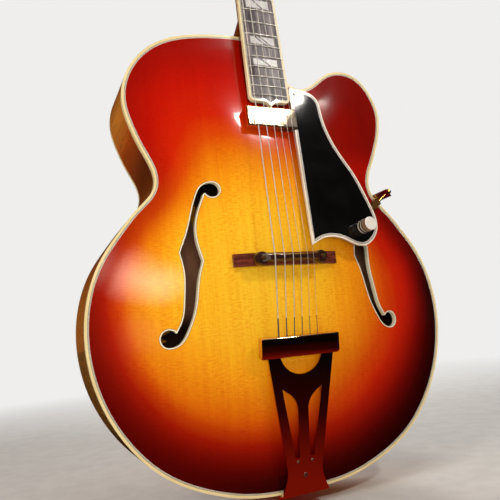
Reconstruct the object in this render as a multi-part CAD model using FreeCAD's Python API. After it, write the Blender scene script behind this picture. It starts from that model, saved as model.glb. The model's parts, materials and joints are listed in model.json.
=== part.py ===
import FreeCAD, Part
import math
import os

from FreeCAD import Placement, Rotation, Vector

# An archtop guitar with one cutaway, a floating pickup and a trapeze tailpiece, in millimetres.
# It is laid out on the bench: X to the treble side, Y from the tail up the neck, Z out of the face.
# Height zero is the edge of the top. Each finished piece is then stood upright on its tail.

# Clearances and cuts
overrun = 10.0
glue_line = 0.1
running_fit = 0.05
fit_clearance = 0.3

# Body outline
body_length = 556.5
lower_bout_width = 462.0
heel_flank = 31.0
shoulder_reach = 27.0
scoop_top_share = 0.925
side_shares = (
    (0.242, 0.0045), (0.476, 0.0305), (0.693, 0.080), (0.848, 0.149), (0.948, 0.228), (1.0, 0.346),
    (0.978, 0.422), (0.918, 0.487), (0.823, 0.5445), (0.719, 0.5957), (0.649, 0.629), (0.634, 0.656),
    (0.656, 0.690), (0.693, 0.7205), (0.736, 0.7637), (0.769, 0.8176), (0.762, 0.857))
shoulder_shares = ((0.711, 0.906), (0.656, 0.9345), (0.545, 0.9675), (0.433, 0.9844), (0.320, 0.9935))
horn_shares = (
    (0.749, 0.8724), (0.704, 0.907), (0.641, 0.931), (0.538, 0.9423), (0.431, 0.931), (0.356, 0.9082),
    (0.284, 0.8896), (0.218, 0.887), (0.170, 0.898))
curve_steps = 72

# Body shell
rim_depth = 87.0
rim_wall = 3.0
top_wall = 6.5
back_wall = 5.0
top_arch = 19.0
back_arch = 17.0
arch_ledge = 13.0
arch_margin = 20.0
arch_columns = 40
arch_rows = 46
arch_power = 3.0
outline_stations = 260
top_binding_width = 4.6
back_binding_width = 2.4
end_graft_width = 26.0

# Inside the body
lining_width = 7.0
lining_height = 16.0
neck_block_width = 92.0
neck_block_length = 58.0
end_block_width = 100.0
end_block_length = 34.0
tone_bar_width = 8.0
tone_bar_height = 14.0
tone_bar_length = 320.0
tone_bar_tail = 108.0
tone_bar_offset = 40.0

# Sound holes
lower_eye_x = 144.5
lower_eye_drop = 80.5
lower_eye_radius = 9.5
upper_eye_radius = 8.8
eye_spread = 63.0
eye_rise = 167.0
f_binding_width = 1.6
outer_upper_shares = ((0.81, 1.030), (0.715, 0.978), (0.578, 0.831), (0.445, 0.681), (0.308, 0.564))
outer_lower_shares = ((0.352, 0.440), (0.3125, 0.241), (0.227, 0.096), (0.125, 0.030))
inner_lower_shares = ((0.180, -0.036), (0.3125, 0.030), (0.477, 0.175), (0.600, 0.398), (0.690, 0.499))
inner_upper_shares = ((0.620, 0.6386), (0.664, 0.813), (0.836, 0.972))

# Neck and fingerboard
scale_length = 647.7
body_fret = 14
fret_count = 20
neck_joint_overlap = 4.0
neck_angle = 4.14
board_height = 17.3
board_wall = 6.2
board_radius = 305.0
board_length = 452.0
nut_width = 42.9
board_end_width = 55.0
board_binding_width = 3.4
board_corner = 7.0
board_tip_width = 18.0
board_tip_length = 6.5
board_tip_bow_share = 0.3
nut_length = 5.0
nut_rise = 2.0
neck_depth_at_nut = 15.0
neck_depth_at_heel = 18.5
bow_steps = 8

# Heel and neck joint
heel_shares = (
    (0.0, 0.98, 2.30), (0.25, 0.90, 1.62), (0.5, 0.79, 1.10), (0.75, 0.71, 0.86), (1.0, 0.68, 0.80))
heel_cap_wall = 2.5
tenon_length = 34.0
tenon_width = 30.0
tenon_inner_width = 38.0
tenon_depth = 66.0
extension_inset = 3.0
extension_setback = 6.0

# Headstock
head_angle = 15.0
head_wall = 14.5
veneer_wall = 1.8
head_length = 186.0
head_width = 86.0
head_root = 12.0
head_shares = ((0.53, 0.05), (0.78, 0.17), (0.885, 0.30), (0.95, 0.60), (1.0, 0.83))
head_corner_share = 0.93
head_brow_share = 0.62
rod_radius = 2.5
rod_channel_width = 6.0
rod_channel_depth = 9.0
rod_tail = 14.0
rod_nut_radius = 4.0
rod_nut_length = 12.0
rod_pocket_length = 34.0
rod_pocket_width = 14.0
cover_wall = 1.6
cover_length = 52.0
cover_width = 30.0
cover_tip_width = 12.0

# Frets and inlays
fret_width = 2.4
fret_rise = 1.1
tang_width = 0.6
tang_depth = 1.8
inlay_wall = 1.5
inlay_width_share = 0.60
inlay_length_share = 0.62
slash_width = 2.0
slash_reach_share = 0.42
inlay_slashes = {1: 1, 3: 2, 5: 1, 7: 2, 9: 1, 12: 1, 15: 2, 17: 1}

# Strings
string_radii = (0.152, 0.203, 0.305, 0.406, 0.533, 0.660)
saddle_spread = 50.0
nut_spread = 35.5
tail_spread = 50.0
saddle_places_share = (1.0, 0.68, 0.30, -0.09, -0.53, -1.0)
even_places_share = (1.0, 0.6, 0.2, -0.2, -0.6, -1.0)
string_bend = 4.0
ball_radius = 1.9
ball_length = 3.6
winding_turns = 2.5
winding_gap = 0.55
winding_rise = 9.0

# Bridge
bridge_base_length = 135.0
bridge_base_width = 15.0
bridge_base_rise = 7.0
bridge_end_rise = 4.5
stud_spacing = 77.0
stud_radius = 1.9
stud_sink = 4.5
stud_length = 21.5
wheel_radius = 8.0
wheel_wall = 3.0
wheel_knurls = 36
wheel_knurl_depth = 0.5
wheel_lift = 3.2
saddle_crest = 42.2
saddle_width = 9.0
saddle_boss_radius = 7.2
saddle_boss_rise = 5.0
saddle_foot_gap = 2.0
saddle_crest_half = 30.0
saddle_crown_width = 4.0

# Tailpiece
tail_angle = 8.64
tail_height = 8.5
tail_wall = 2.6
tail_gap = 0.4
tail_bend = 3.0
tail_foot_half = 30.0
tail_foot_drop = 64.0
tail_foot_end_half = 19.0
tail_waist_half = 22.4
tail_waist_station = 29.0
tail_top_half = 46.4
tail_length = 172.0
tail_arc_radius = 27.0
tail_arc_station = 160.0
slot_foot = 40.0
slot_foot_inner = 6.6
slot_foot_outer = 11.8
slot_top = 118.0
slot_top_outer = 25.4
slot_stem = 92.0
slot_flare_share = 0.35
crossbar_half = 49.5
crossbar_start = 153.0
crossbar_end = 176.5
crossbar_lift = 3.2
crossbar_drop = 8.0
crossbar_slant = 4.5
crossbar_wall = 3.0
string_hole_radius = 1.3
string_hole_drop = 2.2
tail_screw_radius = 3.6
tail_screw_rise = 1.6
tail_screw_station = 19.2
tail_pin_radius = 1.7
tail_pin_half = 9.0
tail_pin_station = 34.8
tail_pin_rise = 1.2
foot_screw_half = 11.0
foot_screw_drop = 57.0

# End pin jack
jack_bore_radius = 3.25
jack_sleeve_radius = 6.0
jack_flange_radius = 9.0
jack_flange_wall = 2.0
jack_waist_radius = 5.2
jack_waist_length = 7.0
jack_rim_radius = 7.6
jack_rim_wall = 3.0
jack_nut_radius = 9.0
jack_nut_wall = 4.0

# Pickup
pickup_width = 68.0
pickup_length = 26.5
pickup_lift = 0.9
pickup_drop = 1.3
pickup_gap = 3.2
pickup_wall = 0.8
pickup_round = 2.2
coil_gap = 1.2
coil_core_width = 3.4
bracket_wall = 1.2
bracket_width = 16.0
bracket_reach = 22.0

# Pickguard
guard_wall = 2.6
guard_drop = 4.0
guard_inner = 30.2
guard_start = 70.2
guard_length = 207.0
guard_width = 98.0
guard_binding_width = 4.0
guard_shares = (
    (0.0, 0.0), (0.179, 0.003), (0.307, 0.021), (0.392, 0.0575), (0.4276, 0.1444), (0.4837, 0.2778),
    (0.614, 0.4145), (0.789, 0.5536), (0.894, 0.6734), (0.954, 0.751), (0.998, 0.8285), (0.993, 0.892),
    (0.89, 0.9676), (0.753, 1.0), (0.636, 0.9928), (0.4724, 0.9575), (0.304, 0.941), (0.142, 0.9546),
    (0.004, 0.989))
guard_notch_clearance = 0.8
guard_screw_x = 37.0
guard_screw_station = 77.5
guard_screw_radius = 2.6
guard_screw_rise = 1.0
guard_block_length = 14.0
guard_block_reach = 12.0
guard_block_depth = 9.0
stay_station_share = 0.616
stay_radius = 1.6
stay_lead = 26.0
stay_overhang = 5.0
stay_clamp_width = 10.0
stay_clamp_length = 16.0
stay_clamp_depth = 5.0
stay_foot_wall = 1.6
stay_foot_width = 11.0
stay_foot_drop = 30.0
stay_foot_gap = 0.7
stay_foot_rise = 4.6
stay_nut_radius = 3.4
stay_nut_length = 5.0

# Volume control
knob_x = 104.5
knob_station = 254.3
knob_radius = 8.4
knob_height = 17.0
knob_lift = 0.8
knob_band_depth = 0.7
knob_band_share = 0.18
knob_socket_depth = 12.0
knob_shaft_radius = 3.0
pot_radius = 8.6
pot_depth = 9.0
pot_sleeve_radius = 4.6
pot_nut_radius = 6.4
pot_nut_wall = 1.6

# Tuning machines
post_radius = 3.0
post_height = 17.0
post_cap_radius = 3.5
post_cap_height = 3.0
post_first = 52.0
post_pitch = 42.0
post_inset = 23.5
post_step = 1.6
sleeve_radius = 4.6
sleeve_flange_radius = 6.8
sleeve_flange_wall = 1.4
gear_radius = 5.2
gear_root_radius = 4.3
gear_wall = 4.0
gear_teeth = 15
gear_tooth_share = 0.5
mesh_gap = 0.3
worm_radius = 2.2
worm_half = 5.0
housing_room = 0.5
housing_wall = 1.3
key_shaft_radius = 1.7
key_reach = 24.0
key_collar_radius = 3.0
key_collar_length = 4.0
key_half_width = 10.0
key_half_length = 7.5
key_wall = 6.0
key_round = 1.8


def line_edge(start, end):
    return Part.LineSegment(start, end).toShape()


def polygon_wire(points):
    return Part.makePolygon(points + [points[0]])


def spline_curve(points, start=None, end=None):
    curve = Part.BSplineCurve()
    if start is None:
        curve.interpolate(Points=points)
    else:
        curve.interpolate(Points=points, InitialTangent=start, FinalTangent=end, Scale=False)
    return curve


def shifted_curve(curve, shift):
    # The curve moved to the right of its own direction, in the XY plane
    if shift == 0:
        return curve
    first = curve.FirstParameter
    span = curve.LastParameter - first
    points = []
    headings = []
    for step in range(curve_steps + 1):
        point, slope = curve.getD1(first + span * step / curve_steps)
        slope.normalize()
        headings.append(slope)
        points.append(point + Vector(slope.y, -slope.x, 0) * shift)
    return spline_curve(points, headings[0], headings[-1])


def curve_ends(curve):
    return curve.value(curve.FirstParameter), curve.value(curve.LastParameter)


def extruded(wires, low, high):
    face = Part.makeFace(wires, "Part::FaceMakerBullseye")
    face.translate(Vector(0, 0, low))
    return face.extrude(Vector(0, 0, high - low))


def box_between(low, high):
    size = high - low
    return Part.makeBox(size.x, size.y, size.z, low)


def rod_between(radius, start, end):
    return Part.makeCylinder(radius, (end - start).Length, start, end - start)


def mirrored(shape):
    return shape.mirror(Vector(0, 0, 0), Vector(1, 0, 0))


def placed(shape, place):
    moved = shape.copy()
    moved.Placement = place.multiply(moved.Placement)
    return moved


def turned(profile, centre, axis):
    # The solid of revolution of a list of (radius, height) pairs
    wire = polygon_wire([Vector(radius, 0, height) for radius, height in profile])
    solid = Part.Face(wire).revolve(Vector(0, 0, 0), Vector(0, 0, 1), math.degrees(math.tau))
    return placed(solid, Placement(centre, Rotation(Vector(0, 0, 1), axis)))


def toothed_wire(tip, root, teeth, tooth_share):
    points = []
    pitch = math.tau / teeth
    for tooth in range(teeth):
        for radius, share in ((root, 0.0), (tip, (1 - tooth_share) / 2), (tip, (1 + tooth_share) / 2)):
            angle = pitch * (tooth + share)
            points.append(Vector(radius * math.cos(angle), radius * math.sin(angle), 0))
    return polygon_wire(points)


# Body outline

def outline_point(share):
    return Vector(share[0] * lower_bout_width / 2, share[1] * body_length, 0)


def bass_side(inset):
    points = [Vector(0, 0, 0)]
    for share in side_shares + shoulder_shares:
        spot = outline_point(share)
        points.append(Vector(-spot.x, spot.y, 0))
    points.append(Vector(-shoulder_reach, body_length, 0))
    return shifted_curve(spline_curve(points, Vector(-1, 0, 0), Vector(1, 0, 0)), inset)


def treble_side(inset):
    points = [Vector(heel_flank, scoop_top_share * body_length, 0)]
    for share in reversed(side_shares + horn_shares):
        points.append(outline_point(share))
    points.append(Vector(0, 0, 0))
    return shifted_curve(spline_curve(points, Vector(0, -1, 0), Vector(-1, 0, 0)), inset)


def body_wire(inset):
    bass = bass_side(inset)
    treble = treble_side(inset)
    corner = Vector(heel_flank - inset, body_length - inset, 0)
    bass_end = curve_ends(bass)[1]
    treble_start = curve_ends(treble)[0]
    return Part.Wire([
        bass.toShape(), line_edge(bass_end, corner), line_edge(corner, treble_start), treble.toShape()])


def body_prism(inset, low, high):
    return extruded([body_wire(inset)], low, high)


def body_ring(outer, inner, low, high):
    return extruded([body_wire(outer), body_wire(inner)], low, high)


# Arched plates

def inside_outline(spot, stations):
    inside = False
    for here, after in zip(stations, stations[1:] + stations[:1]):
        if (here.y > spot.y) != (after.y > spot.y):
            crossing = here.x + (after.x - here.x) * (spot.y - here.y) / (after.y - here.y)
            inside = inside != (spot.x < crossing)
    return inside


def edge_distance(spot, stations, spacing):
    # A smooth distance from the outline, which all of its length pulls on
    if not inside_outline(spot, stations):
        return 0.0
    pull = sum(spacing / (spot - station).Length ** arch_power for station in stations)
    return (pull / 2) ** (-1 / (arch_power - 1))


def arch_share(far, peak):
    return (1 - math.cos(math.pi * max(0, far - arch_ledge) / peak)) / 2


def arch_grid():
    # Grid spots over the body with the share of the full rise at each
    wire = body_wire(0)
    stations = wire.discretize(Number=outline_stations + 1)[:-1]
    spacing = wire.Length / outline_stations
    half = lower_bout_width / 2 + arch_margin
    grid = []
    for column in range(arch_columns + 1):
        x = half * (2 * column / arch_columns - 1)
        line = []
        for row in range(arch_rows + 1):
            y = (body_length + 2 * arch_margin) * row / arch_rows - arch_margin
            spot = Vector(x, y, 0)
            line.append((spot, edge_distance(spot, stations, spacing)))
        grid.append(line)
    peak = max(distance for line in grid for spot, distance in line) - arch_ledge
    return [[(spot, arch_share(far, peak)) for spot, far in line] for line in grid]


def arch_face(grid, rise, level):
    surface = Part.BSplineSurface()
    rows = [[spot + Vector(0, 0, level + rise * share) for spot, share in line] for line in grid]
    surface.interpolate(rows)
    return surface.toShape()


arch_shares = arch_grid()
top_face = arch_face(arch_shares, top_arch, 0)
back_face = arch_face(arch_shares, -back_arch, -rim_depth)


def arch_height(x, y):
    # Height of the outside of the top over a place
    surface = top_face.Surface
    u, v = surface.parameter(Vector(x, y, 0))
    return surface.value(u, v).z


def below_top(lift):
    # Everything under the top's outer face, raised by a lift
    block = top_face.extrude(Vector(0, 0, -rim_depth))
    block.translate(Vector(0, 0, lift))
    return block


def f_hole_point(share):
    lower_eye_y = bridge_station - lower_eye_drop
    return Vector(lower_eye_x - share[0] * eye_spread, lower_eye_y + share[1] * eye_rise, 0)


def f_hole_edge(points, heading):
    last = points[-1] - points[-2]
    last.normalize()
    return spline_curve(points, heading, last)


def f_hole_cut(grow, low, high):
    # The treble sound hole, grown all round
    upper = f_hole_point((1, 1))
    lower = f_hole_point((0, 0))
    outer_upper = [upper + Vector(0, upper_eye_radius, 0)] + [f_hole_point(s) for s in outer_upper_shares]
    outer_lower = [outer_upper[-1]] + [f_hole_point(s) for s in outer_lower_shares]
    inner_lower = [lower - Vector(0, lower_eye_radius, 0)] + [f_hole_point(s) for s in inner_lower_shares]
    inner_upper = [inner_lower[-1]] + [f_hole_point(s) for s in inner_upper_shares]
    curves = [
        f_hole_edge(outer_upper, Vector(1, 0, 0)),
        f_hole_edge(outer_lower, (outer_lower[1] - outer_lower[0]).normalize()),
        f_hole_edge(inner_lower, Vector(-1, 0, 0)),
        f_hole_edge(inner_upper, (inner_upper[1] - inner_upper[0]).normalize())]
    curves = [shifted_curve(curve, -grow) for curve in curves]
    ends = [curve_ends(curve) for curve in curves]
    edges = [curves[0].toShape()]
    if grow:
        edges.append(line_edge(ends[0][1], ends[1][0]))
    edges.append(curves[1].toShape())
    edges.append(line_edge(ends[1][1], lower))
    edges.append(line_edge(lower, ends[2][0]))
    edges.append(curves[2].toShape())
    if grow:
        edges.append(line_edge(ends[2][1], ends[3][0]))
    edges.append(curves[3].toShape())
    edges.append(line_edge(ends[3][1], upper))
    edges.append(line_edge(upper, ends[0][0]))
    stem = extruded([Part.Wire(edges)], low, high)
    rise = Vector(0, 0, high - low)
    base = Vector(0, 0, low)
    eyes = [
        Part.makeCylinder(upper_eye_radius + grow, rise.Length, upper + base, rise),
        Part.makeCylinder(lower_eye_radius + grow, rise.Length, lower + base, rise)]
    return stem.multiFuse(eyes)


def f_hole_pair(grow):
    hole = f_hole_cut(grow, -top_wall - overrun, top_arch + overrun)
    return [hole, mirrored(hole)]


def tenon_cut(grow):
    # The dovetail of the neck joint, which also cuts its mortise
    mouth = tenon_width / 2 + grow
    root = tenon_inner_width / 2 + grow
    inner = body_length - tenon_length - grow
    outer = body_length + (overrun if grow else 0)
    slope = (root - mouth) / tenon_length
    points = [
        Vector(-root, inner, 0), Vector(-mouth + slope * (outer - body_length), outer, 0),
        Vector(mouth - slope * (outer - body_length), outer, 0), Vector(root, inner, 0)]
    return extruded([polygon_wire(points)], -tenon_depth - grow, board_height)


def top_slab():
    return top_face.extrude(Vector(0, 0, -top_wall))


def top_plate():
    room = body_prism(top_binding_width + glue_line, -top_wall - overrun, top_arch + overrun)
    return room.common(top_slab()).cut(f_hole_pair(f_binding_width + glue_line) + [tenon_cut(fit_clearance)])


def f_hole_bindings():
    rings = []
    for grown, hole in zip(f_hole_pair(f_binding_width), f_hole_pair(0)):
        rings.append(grown.cut(hole).common(top_slab()))
    return Part.makeCompound(rings)


def back_plate():
    slab = back_face.extrude(Vector(0, 0, back_wall))
    low = -rim_depth - back_arch - overrun
    return body_prism(back_binding_width + glue_line, low, -rim_depth + back_wall + overrun).common(slab)


def top_binding():
    return body_ring(0, top_binding_width, -top_wall, 0).cut(tenon_cut(fit_clearance))


def back_binding():
    return body_ring(0, back_binding_width, -rim_depth, -rim_depth + back_wall)


def rim_low():
    return -rim_depth + back_wall + glue_line


def rim_high():
    return -top_wall - glue_line


def side_half(side):
    reach = lower_bout_width
    low = Vector(min(0, side * reach), -overrun, -2 * rim_depth)
    return box_between(low, Vector(max(0, side * reach), body_length + overrun, rim_depth))


def end_graft_room():
    half = end_graft_width / 2
    return box_between(Vector(-half, -overrun, -2 * rim_depth), Vector(half, end_block_length, rim_depth))


def cutaway_room():
    spots = [outline_point(share) for share in horn_shares]
    tip = max(spots, key=lambda spot: spot.y)
    low = min(spot.y for spot in spots) - overrun
    return box_between(Vector(0, low, -2 * rim_depth), Vector(tip.x, body_length + overrun, rim_depth))


def rim(side):
    wall = body_ring(0, rim_wall, rim_low(), rim_high()).common(side_half(side))
    return wall.cut([tenon_cut(fit_clearance), end_graft_room(), cutaway_room()])


def cutaway_rim():
    # The strip bent round the cutaway, from the horn's tip to the neck
    wall = body_ring(0, rim_wall, rim_low(), rim_high()).common(cutaway_room())
    return wall.cut(tenon_cut(fit_clearance))


def end_graft():
    # The strip at the tail that closes the joint between the two rims
    return body_ring(0, rim_wall, rim_low(), rim_high()).common(end_graft_room()).cut(jack_cut())


def neck_block_room(grow):
    half = neck_block_width / 2 + grow
    low = Vector(-half, body_length - neck_block_length - grow, rim_low())
    return box_between(low, Vector(half, body_length + overrun, rim_high()))


def end_block_room(grow):
    half = end_block_width / 2 + grow
    return box_between(Vector(-half, -overrun, rim_low()), Vector(half, end_block_length + grow, rim_high()))


def neck_block():
    block = neck_block_room(0).common(body_prism(rim_wall + glue_line, rim_low(), rim_high()))
    return block.cut(tenon_cut(fit_clearance))


def end_block():
    block = end_block_room(0).common(body_prism(rim_wall + glue_line, rim_low(), rim_high()))
    return block.cut(jack_cut())


def linings():
    strips = []
    for low in (rim_low(), rim_high() - lining_height):
        strip = body_ring(rim_wall + glue_line, rim_wall + glue_line + lining_width, low, low + lining_height)
        strips.append(strip.cut([neck_block_room(glue_line), end_block_room(glue_line)]))
    return Part.makeCompound([solid for strip in strips for solid in strip.Solids])


def tone_bars():
    under = top_face.copy()
    under.translate(Vector(0, 0, -top_wall - glue_line))
    layer = under.extrude(Vector(0, 0, -tone_bar_height))
    bars = []
    for side in (-1, 1):
        low = Vector(side * tone_bar_offset - tone_bar_width / 2, tone_bar_tail, -rim_depth)
        size = Vector(tone_bar_width, tone_bar_length, rim_depth + top_arch)
        bars.append(box_between(low, low + size).common(layer))
    return Part.makeCompound(bars)


# Neck frame: X across, Y from the body fret to the nut, Z zero on the crown of the fingerboard

def fret_distance(number):
    return scale_length * (1 - 2 ** (-number / 12))


nut_line = fret_distance(body_fret)
board_end = nut_line - board_length
pivot = Vector(0, body_length - neck_joint_overlap, board_height)
bridge_station = pivot.y + nut_line - scale_length
neck_place = Placement(pivot, Rotation(Vector(1, 0, 0), -neck_angle))
head_offset = Placement(Vector(0, nut_line + nut_length, -board_wall), Rotation(Vector(1, 0, 0), -head_angle))
head_place = neck_place.multiply(head_offset)


def board_half(y):
    share = (nut_line - y) / board_length
    return (nut_width + (board_end_width - nut_width) * share) / 2


def board_wire(inset):
    # Outline of the fingerboard with its pointed end, drawn in by an inset but open past the nut
    reach = overrun if inset else 0
    top = nut_line + reach
    end = board_end + inset
    corner = board_corner - inset
    tip = Vector(0, end - board_tip_length, 0)
    tip_half = board_tip_width / 2
    bow = Vector(tip_half / 2, end - board_tip_bow_share * board_tip_length, 0)
    half = board_half(board_end) - inset
    top_half = board_half(nut_line) - inset
    side_end = Vector(half, end + corner, 0)
    diagonal = corner * (1 - math.sqrt(0.5))
    round_mid = Vector(half - diagonal, end + diagonal, 0)
    round_end = Vector(half - corner, end, 0)
    flat_end = Vector(tip_half, end, 0)
    right = [
        line_edge(Vector(top_half, top, 0), side_end),
        Part.Arc(side_end, round_mid, round_end).toShape(),
        line_edge(round_end, flat_end),
        Part.Arc(flat_end, bow, tip).toShape()]
    left = [mirrored(edge) for edge in right]
    top_edge = line_edge(Vector(-top_half, top, 0), Vector(top_half, top, 0))
    return Part.Wire(Part.__sortEdges__(right + left + [top_edge]))


def board_crown(y_low, y_high):
    # Everything under the rounded playing surface
    return rod_between(board_radius, Vector(0, y_low, -board_radius), Vector(0, y_high, -board_radius))


def board_blank():
    blank = extruded([board_wire(0)], -board_wall, overrun)
    return blank.common(board_crown(board_end - overrun, nut_line + overrun))


def board_core():
    return board_blank().common(extruded([board_wire(board_binding_width)], -board_wall - overrun, overrun))


def fret_sweep(number, points):
    # A profile drawn along the board, swept across it over the crown
    y = nut_line - fret_distance(number)
    half_angle = math.degrees(math.asin((board_half(y) - board_binding_width) / board_radius))
    face = Part.Face(points)
    face.translate(Vector(0, y, 0))
    axis_point = Vector(0, 0, -board_radius)
    axis = Vector(0, 1, 0)
    face.rotate(axis_point, axis, -half_angle)
    return face.revolve(axis_point, axis, 2 * half_angle)


def tang_points():
    half = tang_width / 2
    return [
        Vector(0, half, 0), Vector(0, half, -tang_depth), Vector(0, -half, -tang_depth), Vector(0, -half, 0)]


def fret_wire():
    half = fret_width / 2
    crown = Part.Arc(Vector(0, -half, 0), Vector(0, 0, fret_rise), Vector(0, half, 0)).toShape()
    path = [Vector(0, half, 0)] + tang_points() + [Vector(0, -half, 0)]
    return Part.Wire([crown] + [line_edge(here, after) for here, after in zip(path, path[1:])])


def frets():
    return Part.makeCompound([fret_sweep(number, fret_wire()) for number in range(1, fret_count + 1)])


def fret_slots():
    slot = [point + Vector(0, 0, fret_rise if point.z == 0 else 0) for point in tang_points()]
    return [fret_sweep(number, polygon_wire(slot)) for number in range(1, fret_count + 1)]


def inlay_block(number):
    # A pearl block between two frets, parted by one or two slanted slashes
    near = nut_line - fret_distance(number - 1)
    far = nut_line - fret_distance(number)
    middle = (near + far) / 2
    half_length = (near - far) * inlay_length_share / 2
    half_width = board_half(middle) * inlay_width_share
    block = box_between(Vector(-half_width, middle - half_length, -inlay_wall),
                        Vector(half_width, middle + half_length, overrun))
    count = inlay_slashes[number]
    reach = half_width * slash_reach_share
    cuts = []
    for index in range(count):
        centre = (index - (count - 1) / 2) * reach
        top = Vector(centre - reach, middle + half_length, 0)
        foot = Vector(centre + reach, middle - half_length, 0)
        half = Vector(slash_width / 2 * math.hypot(2 * reach, 2 * half_length) / (2 * half_length), 0, 0)
        run = (foot - top) * (overrun / (foot - top).Length)
        corners = [top - half - run, top + half - run, foot + half + run, foot - half + run]
        cuts.append(extruded([polygon_wire(corners)], -inlay_wall - overrun, 2 * overrun))
    return block.cut(cuts).Solids


def inlays():
    crown = board_crown(board_end, nut_line)
    pieces = []
    for number in inlay_slashes:
        pieces.extend(solid.common(crown) for solid in inlay_block(number))
    return Part.makeCompound([solid for piece in pieces for solid in piece.Solids])


def fingerboard():
    pockets = [solid for number in inlay_slashes for solid in inlay_block(number)]
    return board_core().cut(fret_slots()).cut(pockets)


def fingerboard_binding():
    return board_blank().cut(extruded([board_wire(board_binding_width)], -board_wall - overrun, overrun))


def string_at_nut(number):
    radius = string_radii[number - 1]
    return Vector(even_places_share[number - 1] * nut_spread / 2, nut_line, fret_rise + radius)


def nut():
    half = board_half(nut_line)
    block = box_between(Vector(-half, nut_line, -board_wall), Vector(half, nut_line + nut_length, nut_rise))
    cuts = []
    for number, radius in enumerate(string_radii, 1):
        spot = string_at_nut(number)
        wide = radius + glue_line
        low = Vector(spot.x - wide, nut_line - overrun, spot.z - radius - glue_line)
        cuts.append(box_between(low, Vector(spot.x + wide, nut_line + overrun, nut_rise + overrun)))
    return block.cut(cuts + [placed(string_room(n), neck_place.inverse()) for n in range(1, 7)])


def bow_wire(centre, across, out):
    # Half an ellipse on its chord
    points = []
    for step in range(bow_steps + 1):
        angle = math.pi * step / bow_steps
        points.append(centre + across * math.cos(angle) + out * math.sin(angle))
    curve = spline_curve(points, Vector(out).normalize(), Vector(-out).normalize())
    return Part.Wire([curve.toShape(), line_edge(points[-1], points[0])])


def neck_shaft():
    sections = []
    for y, depth in ((0, neck_depth_at_heel), (nut_line + nut_length, neck_depth_at_nut)):
        half = board_half(min(y, nut_line))
        sections.append(bow_wire(Vector(0, y, -board_wall), Vector(half, 0, 0), Vector(0, 0, -depth)))
    return placed(Part.makeLoft(sections, True, True), neck_place)


def heel_section(drop_share, width_share, reach_share):
    high = board_height - board_wall
    low = -rim_depth + heel_cap_wall
    half = board_half(0)
    centre = Vector(0, body_length, high + (low - high) * drop_share)
    return bow_wire(centre, Vector(half * width_share, 0, 0), Vector(0, half * reach_share, 0))


def heel():
    return Part.makeLoft([heel_section(*share) for share in heel_shares], True, False)


def heel_cap():
    return Part.Face(heel_section(*heel_shares[-1])).extrude(Vector(0, 0, -heel_cap_wall))


def neck_extension():
    # The wood under the fingerboard past the body joint, fitted down onto the arch
    low_y = board_end + extension_setback
    half = board_half(board_end) - extension_inset
    low = Vector(-half, low_y, -board_height - overrun)
    block = box_between(low, Vector(half, body_length - pivot.y, -board_wall))
    return placed(block, neck_place).cut(below_top(glue_line))


def head_wire(grow_root):
    half = board_half(nut_line)
    points = [Vector(half, 0, 0)]
    points += [Vector(x * head_width / 2, y * head_length, 0) for x, y in head_shares]
    side = spline_curve(points, Vector(0, 1, 0), Vector(0, 1, 0))
    shoulder = points[-1]
    corner = Vector(head_brow_share * head_width / 2, head_corner_share * head_length, 0)
    bulge = Vector((shoulder.x + corner.x) / 2, (shoulder.y + corner.y) / 2, 0)
    bulge += (Vector(shoulder.x, corner.y, 0) - bulge) * head_brow_share
    right = [side.toShape(), Part.Arc(shoulder, bulge, corner).toShape()]
    left = [mirrored(edge) for edge in right]
    brow = Part.Arc(corner, Vector(0, head_length, 0), Vector(-corner.x, corner.y, 0)).toShape()
    root = [
        Vector(-half, 0, 0), Vector(-half, -grow_root, 0), Vector(half, -grow_root, 0), Vector(half, 0, 0)]
    if grow_root == 0:
        root = [root[0], root[-1]]
    base = [line_edge(here, after) for here, after in zip(root, root[1:])]
    return Part.Wire(Part.__sortEdges__(right + left + [brow] + base))


def post_spot(number):
    row = number - 1 if number <= 3 else 6 - number
    side = 1 if number <= 3 else -1
    return Vector(side * (post_inset + row * post_step), post_first + row * post_pitch, 0)


def post_holes():
    reach = Vector(0, 0, head_wall + overrun)
    return [rod_between(sleeve_radius, post_spot(n) - reach, post_spot(n) + reach) for n in range(1, 7)]


def rod_pocket():
    half = rod_pocket_width / 2
    depth = rod_channel_depth - rod_radius + rod_nut_radius + fit_clearance
    return box_between(Vector(-half, 0, -depth), Vector(half, rod_pocket_length, overrun))


def head():
    blank = extruded([head_wire(head_root)], -head_wall, 0)
    return placed(blank.cut(post_holes() + [rod_pocket()]), head_place)


def headstock_veneer():
    sheet = extruded([head_wire(0)], 0, veneer_wall)
    return sheet.cut(post_holes() + [rod_pocket()])


def rod_channel():
    half = rod_channel_width / 2
    low = Vector(-half, -rod_tail, -board_wall - rod_channel_depth)
    return box_between(low, Vector(half, nut_line + nut_length + overrun, overrun))


def neck():
    outside = neck_shaft().multiFuse([heel(), neck_extension(), head()])
    outside = outside.cut(body_prism(0, -rim_depth - overrun, glue_line))
    wide = head_width
    board_room = box_between(Vector(-wide, board_end - 2 * overrun, -board_wall),
                             Vector(wide, nut_line + nut_length, rim_depth))
    return outside.fuse(tenon_cut(0)).cut([placed(board_room, neck_place), placed(rod_channel(), neck_place)])


def truss_rod():
    level = -board_wall - rod_channel_depth + rod_radius
    start = Vector(0, -rod_tail, level)
    rod = rod_between(rod_radius, start, Vector(0, nut_line + nut_length, level))
    nut_start = Vector(0, nut_line + nut_length, level)
    nut_piece = rod_between(rod_nut_radius, nut_start, nut_start + Vector(0, rod_nut_length, 0))
    return rod.fuse(nut_piece)


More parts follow.
